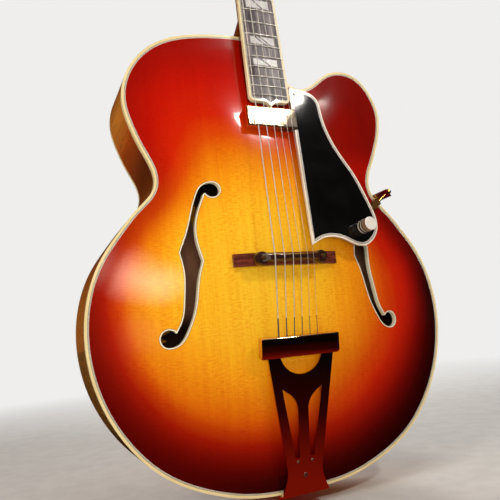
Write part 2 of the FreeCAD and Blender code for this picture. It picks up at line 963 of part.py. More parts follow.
def truss_rod_cover():
    half = cover_width / 2
    tip = cover_tip_width / 2
    foot = running_fit
    side = [Vector(half, foot, 0), Vector(half, foot + cover_length / 4, 0),
            Vector(tip, foot + cover_length * 3 / 4, 0)]
    curve = spline_curve(side, Vector(0, 1, 0), Vector(0, 1, 0)).toShape()
    top = Part.Arc(side[-1], Vector(0, foot + cover_length, 0), Vector(-tip, side[-1].y, 0)).toShape()
    base = line_edge(Vector(-half, foot, 0), side[0])
    wire = Part.Wire(Part.__sortEdges__([curve, top, mirrored(curve), base]))
    return extruded([wire], veneer_wall, veneer_wall + cover_wall)


# Bridge

def bridge_level():
    return arch_height(0, bridge_station) + bridge_base_rise


def bridge_base():
    half = bridge_base_length / 2
    level = bridge_level()
    end_level = arch_height(half, bridge_station) + bridge_end_rise
    flat = stud_spacing / 2 + wheel_radius
    deck = [Vector(-flat, 0, level), Vector(flat, 0, level)]
    ends = [Vector(half, 0, end_level), Vector(half, 0, 0), Vector(-half, 0, 0), Vector(-half, 0, end_level)]
    face = Part.Face(polygon_wire(deck + ends))
    face.translate(Vector(0, bridge_station - bridge_base_width / 2, 0))
    block = face.extrude(Vector(0, bridge_base_width, 0))
    return block.cut([below_top(glue_line)] + [stud(side, stud_radius) for side in (-1, 1)])


def stud(side, radius):
    foot = Vector(side * stud_spacing / 2, bridge_station, bridge_level() - stud_sink)
    return rod_between(radius, foot, foot + Vector(0, 0, stud_length))


def bridge_studs():
    return Part.makeCompound([stud(side, stud_radius) for side in (-1, 1)])


def wheel_low():
    return bridge_level() + wheel_lift


def thumbwheel(side):
    wire = toothed_wire(wheel_radius, wheel_radius - wheel_knurl_depth, wheel_knurls, gear_tooth_share)
    disc = extruded([wire], 0, wheel_wall)
    disc.translate(Vector(side * stud_spacing / 2, bridge_station, wheel_low()))
    return disc.cut(stud(side, stud_radius + running_fit))


def saddle_low():
    return wheel_low() + wheel_wall


def saddle_height(x):
    # Height of the saddle's crest, which follows the fingerboard's radius
    return saddle_crest - board_radius + math.sqrt(board_radius ** 2 - x ** 2)


def bridge_saddle():
    low = saddle_low()
    half = stud_spacing / 2
    crest = saddle_crest_half
    face = [
        Vector(-half, 0, low), Vector(-crest, 0, low),
        Vector(-crest + saddle_foot_gap, 0, low + saddle_foot_gap),
        Vector(crest - saddle_foot_gap, 0, low + saddle_foot_gap),
        Vector(crest, 0, low), Vector(half, 0, low),
        Vector(half, 0, low + saddle_boss_rise), Vector(crest, 0, saddle_height(crest))]
    back = [Vector(-crest, 0, saddle_height(crest)), Vector(-half, 0, low + saddle_boss_rise), face[0]]
    crown = Part.Arc(face[-1], Vector(0, 0, saddle_height(0)), back[0]).toShape()
    edges = [line_edge(here, after) for here, after in zip(face, face[1:])]
    edges.append(crown)
    edges += [line_edge(here, after) for here, after in zip(back, back[1:])]
    profile = Part.Face(Part.Wire(edges))
    profile.translate(Vector(0, bridge_station - saddle_width / 2, 0))
    blade = profile.extrude(Vector(0, saddle_width, 0)).common(saddle_taper())
    bosses = []
    for side in (-1, 1):
        foot = Vector(side * half, bridge_station, low)
        bosses.append(rod_between(saddle_boss_radius, foot, foot + Vector(0, 0, saddle_boss_rise)))
    holes = [stud(side, stud_radius + running_fit) for side in (-1, 1)]
    return blade.multiFuse(bosses).cut(holes + [string_room(n) for n in range(1, 7)])


def saddle_taper():
    # The saddle narrows from its foot to its crown
    low = saddle_low()
    half = saddle_width / 2
    crown = saddle_crown_width / 2
    points = [Vector(0, -half, low), Vector(0, half, low), Vector(0, half, low + saddle_boss_rise),
              Vector(0, crown, saddle_crest), Vector(0, -crown, saddle_crest),
              Vector(0, -half, low + saddle_boss_rise)]
    face = Part.Face(polygon_wire(points))
    reach = stud_spacing
    face.translate(Vector(-reach, bridge_station, 0))
    return face.extrude(Vector(2 * reach, 0, 0))


# Tailpiece frame: X across, Y up the plate from the tail, Z zero on the plate's outer face

tail_place = Placement(Vector(0, 0, tail_height), Rotation(Vector(1, 0, 0), tail_angle))


def bend_edges(sheet, corner):
    # The edges that run across the sheet at a corner of its profile
    across = []
    for edge in sheet.Edges:
        if all(abs(spot.Y - corner.y) + abs(spot.Z - corner.z) < glue_line for spot in edge.Vertexes):
            across.append(edge)
    return across


def tail_bent_sheet():
    # The plate and its foot as one bent sheet, before its outline is cut
    slope = math.tan(math.radians(tail_angle))
    outer_y = -tail_gap - tail_wall
    drop = tail_wall / math.cos(math.radians(tail_angle))
    top_y = tail_length * math.cos(math.radians(tail_angle))
    outer = [Vector(0, outer_y, -tail_foot_drop), Vector(0, outer_y, tail_height + slope * outer_y),
             Vector(0, top_y, tail_height + slope * top_y)]
    inner = [Vector(0, top_y, tail_height + slope * top_y - drop),
             Vector(0, -tail_gap, tail_height - slope * tail_gap - drop),
             Vector(0, -tail_gap, -tail_foot_drop)]
    face = Part.Face(polygon_wire(outer + inner))
    face.translate(Vector(-crossbar_half, 0, 0))
    sheet = face.extrude(Vector(2 * crossbar_half, 0, 0))
    bends = {tail_bend + tail_wall: outer[1], tail_bend: inner[1]}
    for radius, corner in bends.items():
        sheet = sheet.makeFillet(radius, bend_edges(sheet, corner))
    return sheet


def tail_outline():
    # The plate's outline seen from the front: a flared foot, a waist and widening arms
    foot = -tail_gap - tail_wall - overrun
    right = [Vector(tail_foot_half, foot, 0), Vector(tail_foot_half, 0, 0)]
    waist = Vector(tail_waist_half, tail_waist_station, 0)
    top = Vector(tail_top_half, tail_length + overrun, 0)
    heading = (top - waist).normalize()
    curve = spline_curve([right[-1], waist], Vector(-1, 2, 0).normalize(), heading).toShape()
    half = [line_edge(*right), curve, line_edge(waist, top)]
    ends = [line_edge(mirror_point(right[0]), right[0]), line_edge(top, mirror_point(top))]
    wire = Part.Wire(Part.__sortEdges__(half + [mirrored(edge) for edge in half] + ends))
    return extruded([wire], -rim_depth, rim_depth)


def mirror_point(point):
    return Vector(-point.x, point.y, point.z)


def tail_foot_outline():
    # The foot seen from the tail narrows towards its rounded end
    half = tail_foot_end_half
    low = -tail_foot_drop
    points = [Vector(tail_foot_half, 0, rim_depth), Vector(tail_foot_half, 0, 0), Vector(half, 0, low + half)]
    left = [mirror_point(point) for point in reversed(points)]
    round_end = Part.Arc(points[-1], Vector(0, 0, low), left[0]).toShape()
    edges = [line_edge(here, after) for here, after in zip(points, points[1:])] + [round_end]
    edges += [line_edge(here, after) for here, after in zip(left, left[1:])]
    edges.append(line_edge(left[-1], points[0]))
    face = Part.Face(Part.Wire(edges))
    face.translate(Vector(0, -overrun, 0))
    wide = box_between(Vector(-crossbar_half, tail_bend + tail_wall, 0),
                       Vector(crossbar_half, body_length, rim_depth))
    return face.extrude(Vector(0, 2 * overrun, 0)).fuse(wide)


def tail_slot(side):
    # A tall opening between an arm and the centre stem, flared at its top
    foot_inner = Vector(slot_foot_inner, slot_foot, 0)
    foot_outer = Vector(slot_foot_outer, slot_foot, 0)
    top = Vector(slot_top_outer, slot_top, 0)
    stem = Vector(slot_foot_inner, slot_stem, 0)
    middle = stem + (top - stem) * slot_flare_share
    middle.y = stem.y + (top.y - stem.y) * (1 - slot_flare_share)
    flare = spline_curve([stem, middle, top], Vector(0, 1, 0), (top - middle).normalize()).toShape()
    wire = Part.Wire([
        line_edge(foot_outer, foot_inner), line_edge(foot_inner, stem), flare, line_edge(top, foot_outer)])
    cut = extruded([wire], -tail_wall - overrun, overrun)
    return cut if side > 0 else mirrored(cut)


def tail_arc_cut():
    centre = Vector(0, tail_arc_station, -tail_wall - overrun)
    return Part.makeCylinder(tail_arc_radius, tail_wall + 2 * overrun, centre)


def tailpiece_plate():
    sheet = tail_bent_sheet().common(tail_outline()).common(tail_foot_outline())
    openings = [tail_slot(1), tail_slot(-1), tail_arc_cut()]
    return sheet.cut([placed(opening, tail_place) for opening in openings] + [jack_cut()])


def tailpiece_crossbar():
    # The string bar over the plate's arms, hollow below and slanted at its tail side
    points = [
        Vector(0, crossbar_end, -crossbar_drop), Vector(0, crossbar_end, crossbar_lift),
        Vector(0, crossbar_start + crossbar_slant, crossbar_lift), Vector(0, crossbar_start, 0),
        Vector(0, crossbar_start, -tail_wall), Vector(0, crossbar_start + crossbar_wall, -crossbar_drop)]
    face = Part.Face(polygon_wire(points))
    face.translate(Vector(-crossbar_half, 0, 0))
    bar = face.extrude(Vector(2 * crossbar_half, 0, 0))
    hollow_low = Vector(
        -crossbar_half + crossbar_wall, crossbar_start + 2 * crossbar_wall, -crossbar_drop - overrun)
    hollow_high = Vector(crossbar_half - crossbar_wall, crossbar_end - crossbar_wall, 0)
    cuts = [box_between(hollow_low, hollow_high)]
    cuts.append(box_between(Vector(-tail_top_half, 0, -tail_wall),
                            Vector(tail_top_half, tail_length + glue_line, 0)))
    through = Vector(0, 2 * overrun, 0)
    cuts += [rod_between(string_hole_radius, ball_seat(n), ball_seat(n) + through) for n in range(1, 7)]
    return bar.cut(cuts)


def ball_seat(number):
    x = even_places_share[number - 1] * tail_spread / 2
    return Vector(x, crossbar_end - crossbar_wall, -string_hole_drop - tail_wall)


def screws():
    # The screws and pins of the tailpiece, and the screw of the pickguard
    face = Vector(0, 0, 1)
    head = screw_profile(tail_screw_radius, tail_screw_rise)
    pin = screw_profile(tail_pin_radius, tail_pin_rise)
    guard_spot = Vector(guard_screw_x, -guard_screw_station, guard_levels()[1])
    guard_head = turned(screw_profile(guard_screw_radius, guard_screw_rise), guard_spot, face)
    tail_head = turned(head, Vector(0, tail_screw_station, 0), face)
    pieces = [placed(tail_head, tail_place), placed(guard_head, neck_place)]
    for side in (-1, 1):
        spot = Vector(side * tail_pin_half, tail_pin_station, 0)
        pieces.append(placed(turned(pin, spot, face), tail_place))
        foot = Vector(side * foot_screw_half, -tail_gap - tail_wall, -foot_screw_drop)
        pieces.append(turned(head, foot, Vector(0, -1, 0)))
    return Part.makeCompound(pieces)


def screw_profile(radius, rise):
    # A low raised head, seated on its face
    return [(0, 0), (radius, 0), (radius, rise / 2), (radius * 2 / 3, rise), (0, rise)]


def jack_axis(y):
    return Vector(0, y, -rim_depth / 2)


def jack_cut():
    end = jack_axis(end_block_length + overrun)
    return rod_between(jack_sleeve_radius + running_fit, jack_axis(-2 * overrun), end)


def end_pin_jack():
    # A strap pin with the cable socket through it, clamped on the tail block by a nut inside
    seat = tail_gap + tail_wall
    waist = seat + jack_flange_wall
    lip = waist + jack_waist_length
    tip = lip + jack_rim_wall
    inside = -end_block_length - glue_line
    end = inside - jack_nut_wall
    profile = [
        (jack_bore_radius, end), (jack_nut_radius, end), (jack_nut_radius, inside),
        (jack_sleeve_radius, inside), (jack_sleeve_radius, seat), (jack_flange_radius, seat),
        (jack_flange_radius, waist), (jack_waist_radius, waist),
        (jack_waist_radius, lip), (jack_rim_radius, lip), (jack_rim_radius, tip), (jack_bore_radius, tip)]
    return turned(profile, jack_axis(0), Vector(0, -1, 0))


# Pickup, in the neck frame

pickup_middle = board_end - board_tip_length / 2 - pickup_gap - pickup_length / 2


def room_over_top(station):
    spot = neck_place.multVec(Vector(0, station, 0))
    return spot.z - arch_height(0, spot.y)


pickup_room = min(room_over_top(pickup_middle + side * pickup_length / 2) for side in (-1, 0, 1))
pickup_depth = pickup_room - pickup_drop - bracket_wall - pickup_lift


def pickup_block(shrink, low, high):
    half_x = pickup_width / 2 - shrink
    half_y = pickup_length / 2 - shrink
    return box_between(Vector(-half_x, pickup_middle - half_y, low),
                       Vector(half_x, pickup_middle + half_y, high))


def pickup_cover():
    low = -pickup_drop - pickup_depth
    block = pickup_block(0, low, -pickup_drop)
    edges = [edge for edge in block.Edges if edge.CenterOfMass.z > low + glue_line]
    block = block.makeFillet(pickup_round, edges)
    return block.cut(pickup_block(pickup_wall, low - overrun, -pickup_drop - pickup_wall))


def pickup_coils():
    low = -pickup_drop - pickup_depth
    high = -pickup_drop - pickup_wall - glue_line
    room = pickup_block(pickup_wall + coil_gap, low, high).BoundBox
    width = (room.YLength - coil_gap) / 2
    coils = []
    for start in (room.YMin, room.YMax - width):
        ends = [Vector(x, start + width / 2, low) for x in (room.XMin + width / 2, room.XMax - width / 2)]
        body = box_between(Vector(ends[0].x, start, low), Vector(ends[1].x, start + width, high))
        body = body.multiFuse([Part.makeCylinder(width / 2, high - low, end) for end in ends])
        half = coil_core_width / 2
        core = box_between(Vector(ends[0].x, start + width / 2 - half, low),
                           Vector(ends[1].x, start + width / 2 + half, high))
        coils.append(body.cut(core))
        coils.append(core)
    return Part.makeCompound(coils)


def pickup_bracket():
    # A bent strip under the pickup that hangs it from the pickguard
    low = -pickup_drop - pickup_depth - bracket_wall
    under_guard = -guard_drop - guard_wall
    half = bracket_width / 2
    riser = pickup_width / 2 + fit_clearance + bracket_wall
    end = riser + bracket_reach
    points = [
        Vector(-pickup_width / 4, 0, low), Vector(riser, 0, low),
        Vector(riser, 0, under_guard - bracket_wall), Vector(end, 0, under_guard - bracket_wall),
        Vector(end, 0, under_guard),
        Vector(riser - bracket_wall, 0, under_guard), Vector(riser - bracket_wall, 0, low + bracket_wall),
        Vector(-pickup_width / 4, 0, low + bracket_wall)]
    face = Part.Face(polygon_wire(points))
    face.translate(Vector(0, pickup_middle - half, 0))
    return face.extrude(Vector(0, bracket_width, 0))


# Pickguard, in the neck frame

def guard_point(share):
    return Vector(guard_inner + share[0] * guard_width, -guard_start - share[1] * guard_length, 0)


def guard_prism(inset, low, high):
    points = [guard_point(share) for share in guard_shares]
    curve = shifted_curve(spline_curve(points, Vector(1, 0, 0), (points[-1] - points[-2]).normalize()), inset)
    start, end = curve_ends(curve)
    prism = extruded([Part.Wire([curve.toShape(), line_edge(end, start)])], low, high)
    reach = guard_width + guard_length
    room = box_between(Vector(guard_inner + inset, -2 * reach, low), Vector(reach, 0, high))
    return prism.common(room)


def guard_openings(low, high):
    clear = guard_notch_clearance
    notch = pickup_block(-clear, low, high)
    sleeve = rod_between(pot_sleeve_radius + glue_line, knob_spot(low), knob_spot(high))
    return [notch, sleeve]


def guard_levels():
    return -guard_drop - guard_wall, -guard_drop


def pickguard():
    low, high = guard_levels()
    plate = guard_prism(guard_binding_width + glue_line, low, high)
    return plate.cut(guard_openings(low - overrun, high + overrun))


def pickguard_binding():
    low, high = guard_levels()
    ring = guard_prism(0, low, high).cut(guard_prism(guard_binding_width, low - overrun, high + overrun))
    ring = ring.cut(guard_openings(low - overrun, high + overrun))
    return Part.makeCompound(ring.Solids)


def guard_block():
    # The block on the side of the neck that carries the guard's upper end
    low, high = guard_levels()
    start = board_half(board_end) - extension_inset
    middle = -guard_screw_station
    half = guard_block_length / 2
    return box_between(Vector(start, middle - half, low - guard_block_depth),
                       Vector(guard_inner + guard_block_reach, middle + half, low))


def stay_frame():
    # The stay's line: from under the guard, square across the rim at the waist
    side = treble_side(0)
    first = side.FirstParameter
    span = side.LastParameter - first
    steps = [first + span * step / curve_steps for step in range(curve_steps)]
    level = stay_station_share * body_length
    spots = [step for step in steps if side.value(step).y > level]
    point, slope = side.getD1(spots[-1])
    slope.normalize()
    return point, Vector(-slope.y, slope.x, 0)


def pickguard_stay():
    edge, out = stay_frame()
    clamp_spot = edge - out * stay_lead
    local = neck_place.inverse().multVec(clamp_spot)
    low = guard_levels()[0]
    clamp_top = neck_place.multVec(Vector(local.x, local.y, low))
    level = clamp_top.z - stay_clamp_depth / 2
    turn = Rotation(Vector(1, 0, 0), out)
    clamp = box_between(Vector(-stay_clamp_length / 2, -stay_clamp_width / 2, low - stay_clamp_depth),
                        Vector(stay_clamp_length / 2, stay_clamp_width / 2, low))
    clamp = placed(placed(clamp, Placement(Vector(local.x, local.y, 0), turn)), neck_place)
    rod = rod_between(stay_radius, Vector(clamp_spot.x, clamp_spot.y, level),
                      Vector(edge.x, edge.y, level) + out * (stay_foot_gap + stay_foot_wall + stay_overhang))
    foot_low = Vector(stay_foot_gap, -stay_foot_width / 2, -stay_foot_drop)
    foot_high = Vector(stay_foot_gap + stay_foot_wall, stay_foot_width / 2, level + stay_foot_rise)
    foot = placed(box_between(foot_low, foot_high), Placement(edge, turn))
    nut_start = Vector(edge.x, edge.y, level) + out * (stay_foot_gap + stay_foot_wall)
    nut_piece = rod_between(stay_nut_radius, nut_start, nut_start + out * stay_nut_length)
    return clamp.multiFuse([rod, foot, nut_piece])


# Volume control, in the neck frame

def knob_spot(height):
    return Vector(knob_x, -knob_station, height)


def volume_knob():
    # A turned metal knob with a grooved band, on the control's shaft
    low = pot_nut_wall + knob_lift
    band = knob_height * knob_band_share
    groove = knob_radius - knob_band_depth
    high = low + knob_height
    profile = [
        (0, -guard_wall - pot_depth / 2), (knob_shaft_radius, -guard_wall - pot_depth / 2),
        (knob_shaft_radius, low), (knob_radius, low), (knob_radius, low + band),
        (groove, low + band), (groove, low + 2 * band),
        (knob_radius, low + 2 * band), (knob_radius, high - knob_band_depth), (groove, high), (0, high)]
    return turned(profile, knob_spot(-guard_drop), Vector(0, 0, 1))


def volume_pot():
    # The control's can under the guard, its sleeve through it and the nut on top
    inner = knob_shaft_radius + running_fit
    deep = -guard_wall - pot_depth
    shelf = -guard_wall - pot_depth / 2 - glue_line - fit_clearance
    profile = [
        (0, deep), (pot_radius, deep), (pot_radius, -guard_wall), (pot_sleeve_radius, -guard_wall),
        (pot_sleeve_radius, 0), (pot_nut_radius, 0), (pot_nut_radius, pot_nut_wall), (inner, pot_nut_wall),
        (inner, shelf), (0, shelf)]
    return turned(profile, knob_spot(-guard_drop), Vector(0, 0, 1))


# Tuning machines, in the head frame

def gear_middle():
    return -head_wall - housing_room - gear_wall / 2


def worm_offset(number):
    side = math.copysign(1, post_spot(number).x)
    return Vector(0, -(gear_radius + mesh_gap + worm_radius), 0), Vector(side, 0, 0)


def tuner_post(number):
    spot = post_spot(number)
    low = gear_middle() - gear_wall / 2
    high = veneer_wall + post_height
    profile = [(0, low), (post_radius, low), (post_radius, high - post_cap_height),
               (post_cap_radius, high - post_cap_height), (post_cap_radius, high - post_cap_height / 2),
               (post_radius, high), (0, high)]
    teeth = toothed_wire(gear_radius, gear_root_radius, gear_teeth, gear_tooth_share)
    gear = extruded([teeth], low, low + gear_wall)
    gear.translate(spot)
    return turned(profile, spot, Vector(0, 0, 1)).fuse(gear)


def tuner_key(number):
    # The worm, its shaft and the oval button on one spindle
    offset, out = worm_offset(number)
    centre = post_spot(number) + offset + Vector(0, 0, gear_middle())
    worm = rod_between(worm_radius, centre - out * worm_half, centre + out * worm_half)
    shaft = rod_between(key_shaft_radius, centre, centre + out * (key_reach + key_half_width / 2))
    collar_start = centre + out * (key_reach - key_collar_length)
    collar_end = collar_start + out * (key_collar_length + key_round)
    collar = rod_between(key_collar_radius, collar_start, collar_end)
    oval = Part.Ellipse(Vector(0, 0, 0), key_half_width, key_half_length).toShape()
    button = extruded([Part.Wire([oval])], -key_wall / 2, key_wall / 2)
    button = button.makeFillet(key_round, [e for e in button.Edges if e.Length > 2 * key_half_width])
    button.translate(centre + out * (key_reach + key_half_width))
    return worm.multiFuse([shaft, collar, button])


def tuner_housing(number):
    # A gear case, open towards the back of the headstock that closes it
    offset, out = worm_offset(number)
    spot = post_spot(number)
    worm_y = offset.y - worm_radius - housing_room
    half = max(gear_radius, worm_half) + housing_room
    high = -head_wall
    low = high - gear_wall - 2 * housing_room
    room = box_between(spot + Vector(-half, worm_y, low),
                       spot + Vector(half, gear_radius + housing_room, high + overrun))
    wall = Vector(housing_wall, housing_wall, housing_wall)
    box = room.BoundBox
    shell = box_between(Vector(box.XMin, box.YMin, low) - wall,
                        Vector(box.XMax, box.YMax, high - housing_wall) + wall)
    edges = [edge for edge in shell.Edges if edge.CenterOfMass.z < high - glue_line]
    shell = shell.makeFillet(housing_wall, edges)
    centre = spot + offset + Vector(0, 0, gear_middle())
    hole = rod_between(key_shaft_radius + running_fit, centre, centre + out * (half + housing_wall + overrun))
    return shell.cut([room, hole])


def tuner_sleeve(number):
    inner = post_radius + running_fit
    profile = [
        (inner, -head_wall), (sleeve_radius, -head_wall), (sleeve_radius, veneer_wall),
        (sleeve_flange_radius, veneer_wall), (sleeve_flange_radius, veneer_wall + sleeve_flange_wall),
        (inner, veneer_wall + sleeve_flange_wall)]
    return turned(profile, post_spot(number), Vector(0, 0, 1))


def tuner_housings():
    # The fixed part of each machine: its gear case and the sleeve around its post
    cases = [tuner_housing(number) for number in range(1, 7)]
    return Part.makeCompound(cases + [tuner_sleeve(number) for number in range(1, 7)])


# Strings

def arc_through(start, heading, end):
    # The arc that leaves a point along a heading and ends at another point
    chord = end - start
    turn = heading.getAngle(chord)
    if turn * chord.Length < overrun * 1e-6:
        return line_edge(start, end)
    aside = heading - chord * (heading.dot(chord) / chord.dot(chord))
    aside.normalize()
    return Part.Arc(start, start + chord / 2 + aside * (chord.Length / 2 * math.tan(turn / 2)), end).toShape()


def biarc(start, start_heading, end, end_heading):
    # Two arcs that join smoothly from one heading to another
    gap = end - start
    both = start_heading + end_heading
    part = gap.dot(both)
    turn = 2 * (1 - start_heading.dot(end_heading))
    reach = (math.sqrt(part * part + turn * gap.dot(gap)) - part) / turn
    middle = (start + end + (start_heading - end_heading) * reach) / 2
    last = arc_through(end, end_heading * -1, middle)
    return [arc_through(start, start_heading, middle), last]


def rounded_run(points, radius):
    # Straight runs joined by arcs of one radius
    edges = []
    start = points[0]
    for before, corner, after in zip(points, points[1:], points[2:]):
        come = (corner - before).normalize()
        leave = (after - corner).normalize()
        cut = radius * math.tan(come.getAngle(leave) / 2)
        arc_start = corner - come * cut
        arc_end = corner + leave * cut
        edges.append(line_edge(start, arc_start))
        edges.append(arc_through(arc_start, come, arc_end))
        start = arc_end
    edges.append(line_edge(start, points[-1]))
    return edges


def winding(number, entry):
    # Points and headings of the turns on the post, in the head frame, a quarter turn apart
    radius = string_radii[number - 1]
    spot = post_spot(number)
    side = math.copysign(1, spot.x)
    ring = post_radius + fit_clearance + radius
    aim = entry - spot
    start = math.atan2(aim.y, aim.x) - side * math.acos(ring / math.hypot(aim.x, aim.y))
    fall = (2 * radius + winding_gap) / math.tau
    points = []
    headings = []
    for quarter in range(round(4 * winding_turns) + 1):
        turn = quarter * math.pi / 2
        angle = start - side * turn
        height = winding_rise - fall * turn
        points.append(spot + Vector(ring * math.cos(angle), ring * math.sin(angle), height))
        heading = Vector(side * ring * math.sin(angle), -side * ring * math.cos(angle), -fall)
        headings.append(heading.normalize())
    return points, headings


def least_gap(edges, radius, apart):
    # Smallest space between turns at least half a turn apart, measured on points
    points = [point for edge in edges for point in edge.discretize(Number=bow_steps)[:-1]]
    pairs = [(a, b) for i, a in enumerate(points) for b in points[i + apart:]]
    return min((a - b).Length for a, b in pairs) - 2 * radius


def string_points(number):
    # Anchor, saddle and nut points of a string, on its centre line
    radius = string_radii[number - 1]
    x = saddle_places_share[number - 1] * saddle_spread / 2
    anchor = tail_place.multVec(ball_seat(number) - Vector(0, glue_line, 0))
    saddle = Vector(x, bridge_station, saddle_height(x) + radius + glue_line)
    nut_top = string_at_nut(number) + Vector(0, nut_length / 2, 0)
    return [anchor, saddle, neck_place.multVec(nut_top)]


def string_turns(number):
    # Points and headings of the turns on the post
    turns, headings = winding(number, head_place.inverse().multVec(string_points(number)[-1]))
    turns = [head_place.multVec(point) for point in turns]
    return turns, [head_place.Rotation.multVec(heading) for heading in headings]


def string_run(number):
    # The run from the anchor to the post
    return rounded_run(string_points(number) + string_turns(number)[0][:1], string_bend)


def string_pipe(number, edges, grow):
    anchor, saddle, _ = string_points(number)
    section = Part.Circle(anchor, saddle - anchor, string_radii[number - 1] + grow)
    return Part.Wire(edges).makePipeShell([Part.Wire([section.toShape()])], True, False)


def string_room(number):
    return string_pipe(number, string_run(number), glue_line)


def string(number):
    radius = string_radii[number - 1]
    points = string_points(number)
    turns, headings = string_turns(number)
    headings[0] = (turns[0] - points[-1]).normalize()
    coil = []
    for here, after, come, leave in zip(turns, turns[1:], headings, headings[1:]):
        coil += biarc(here, come, after, leave)
    print("string", number, "least gap in its winding", round(least_gap(coil, radius, 4 * bow_steps), 3))
    first = (points[1] - points[0]).normalize()
    tube = string_pipe(number, string_run(number) + coil, 0)
    back = rod_between(ball_radius, points[0], points[0] - first * ball_length)
    return Part.makeCompound([tube, back])


# All the pieces, stood upright on the tail

upright = Placement(Vector(0, -rim_depth / 2, 0), Rotation(Vector(1, 0, 0), 90))


def all_nodes():
    bench = Placement()
    nodes = {
        "top_plate": (top_plate(), bench),
        "f_hole_bindings": (f_hole_bindings(), bench),
        "back_plate": (back_plate(), bench),
        "top_binding": (top_binding(), bench),
        "back_binding": (back_binding(), bench),
        "bass_rim": (rim(-1), bench),
        "treble_rim": (rim(1), bench),
        "cutaway_rim": (cutaway_rim(), bench),
        "end_graft": (end_graft(), bench),
        "linings": (linings(), bench),
        "neck_block": (neck_block(), bench),
        "end_block": (end_block(), bench),
        "tone_bars": (tone_bars(), bench),
        "neck": (neck(), bench),
        "heel_cap": (heel_cap(), bench),
        "fingerboard": (fingerboard(), neck_place),
        "fingerboard_binding": (fingerboard_binding(), neck_place),
        "frets": (frets(), neck_place),
        "inlays": (inlays(), neck_place),
        "nut": (nut(), neck_place),
        "truss_rod": (truss_rod(), neck_place),
        "truss_rod_cover": (truss_rod_cover(), head_place),
        "headstock_veneer": (headstock_veneer(), head_place),
        "bridge_base": (bridge_base(), bench),
        "bridge_studs": (bridge_studs(), bench),
        "bass_thumbwheel": (thumbwheel(-1), bench),
        "treble_thumbwheel": (thumbwheel(1), bench),
        "bridge_saddle": (bridge_saddle(), bench),
        "tailpiece_plate": (tailpiece_plate(), bench),
        "tailpiece_crossbar": (tailpiece_crossbar(), tail_place),
        "screws": (screws(), bench),
        "end_pin_jack": (end_pin_jack(), bench),
        "pickup_cover": (pickup_cover(), neck_place),
        "pickup_coils": (pickup_coils(), neck_place),
        "pickup_bracket": (pickup_bracket(), neck_place),
        "pickguard": (pickguard(), neck_place),
        "pickguard_binding": (pickguard_binding(), neck_place),
        "pickguard_block": (guard_block(), neck_place),
        "pickguard_stay": (pickguard_stay(), bench),
        "volume_knob": (volume_knob(), neck_place),
        "volume_pot": (volume_pot(), neck_place),
        "tuner_housings": (tuner_housings(), head_place),
    }
    for number in range(1, 7):
        nodes[f"tuner_post_{number}"] = (tuner_post(number), head_place)
        nodes[f"tuner_key_{number}"] = (tuner_key(number), head_place)
        nodes[f"string_{number}"] = (string(number), bench)
    return nodes


os.makedirs("parts", exist_ok=True)
for name, (shape, place) in all_nodes().items():
    placed(shape, upright.multiply(place)).exportStep(f"parts/{name}.step")
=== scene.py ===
import bpy
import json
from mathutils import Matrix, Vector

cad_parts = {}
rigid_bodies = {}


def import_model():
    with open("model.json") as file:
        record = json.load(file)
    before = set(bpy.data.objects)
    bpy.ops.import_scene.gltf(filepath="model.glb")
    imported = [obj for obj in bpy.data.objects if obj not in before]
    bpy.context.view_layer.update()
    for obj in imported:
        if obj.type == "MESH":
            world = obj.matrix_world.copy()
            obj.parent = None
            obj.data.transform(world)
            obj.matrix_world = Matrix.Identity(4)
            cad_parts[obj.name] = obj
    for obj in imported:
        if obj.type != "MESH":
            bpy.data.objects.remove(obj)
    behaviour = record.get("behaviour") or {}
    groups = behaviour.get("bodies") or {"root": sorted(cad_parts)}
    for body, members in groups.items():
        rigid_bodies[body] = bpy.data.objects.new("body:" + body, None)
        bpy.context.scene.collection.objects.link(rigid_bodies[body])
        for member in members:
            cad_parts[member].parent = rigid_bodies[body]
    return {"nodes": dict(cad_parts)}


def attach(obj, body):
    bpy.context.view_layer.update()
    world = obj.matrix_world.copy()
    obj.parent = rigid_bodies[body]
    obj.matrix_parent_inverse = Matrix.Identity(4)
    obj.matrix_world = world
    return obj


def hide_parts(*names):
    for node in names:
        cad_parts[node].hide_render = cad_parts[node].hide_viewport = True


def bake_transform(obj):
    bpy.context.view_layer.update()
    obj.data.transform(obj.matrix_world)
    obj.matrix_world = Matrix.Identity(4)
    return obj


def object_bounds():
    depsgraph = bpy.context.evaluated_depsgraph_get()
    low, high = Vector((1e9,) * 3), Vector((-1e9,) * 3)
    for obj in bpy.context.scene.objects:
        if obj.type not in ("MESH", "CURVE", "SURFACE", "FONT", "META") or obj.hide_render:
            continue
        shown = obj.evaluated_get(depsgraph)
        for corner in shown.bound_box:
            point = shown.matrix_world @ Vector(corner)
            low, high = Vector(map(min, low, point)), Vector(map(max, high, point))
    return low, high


for leftover in list(bpy.data.objects):
    bpy.data.objects.remove(leftover)
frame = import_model()
cad_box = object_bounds()

# Dress of the archtop guitar: finishes for every CAD piece, strings, small fasteners, studio and camera.
# Lengths are in metres unless a class says otherwise.
# Z runs up the neck from the tail, -Y out of the face, +X to the treble side.

import json
import logging
import math
from dataclasses import dataclass, field
from enum import Enum
from functools import cache, reduce
from typing import ClassVar, Sequence

import bmesh
from mathutils import Matrix, Vector
from mathutils.bvhtree import BVHTree

log = logging.getLogger("guitar")
MM = 0.001
Socket = bpy.types.NodeSocket
Shader = bpy.types.Node
# Low and high end of a value, then what each of them becomes.
Span = tuple[float, float, float, float]
# Radius and height of each corner of a turned shape, from the axis below to the axis above.
Profile = tuple[tuple[float, float], ...]


def linear(code: str) -> tuple[float, float, float, float]:
    """Turns a six-digit screen colour into linear RGBA.

    Args:
        code: Red, green and blue as two hexadecimal digits each.

    Returns:
        The colour that a colour socket takes.
    """
    parts = [int(code[i:i + 2], 16) / 255 for i in (0, 2, 4)]
    return tuple(((p + 0.055) / 1.055) ** 2.4 if p > 0.04045 else p / 12.92 for p in parts) + (1.0,)


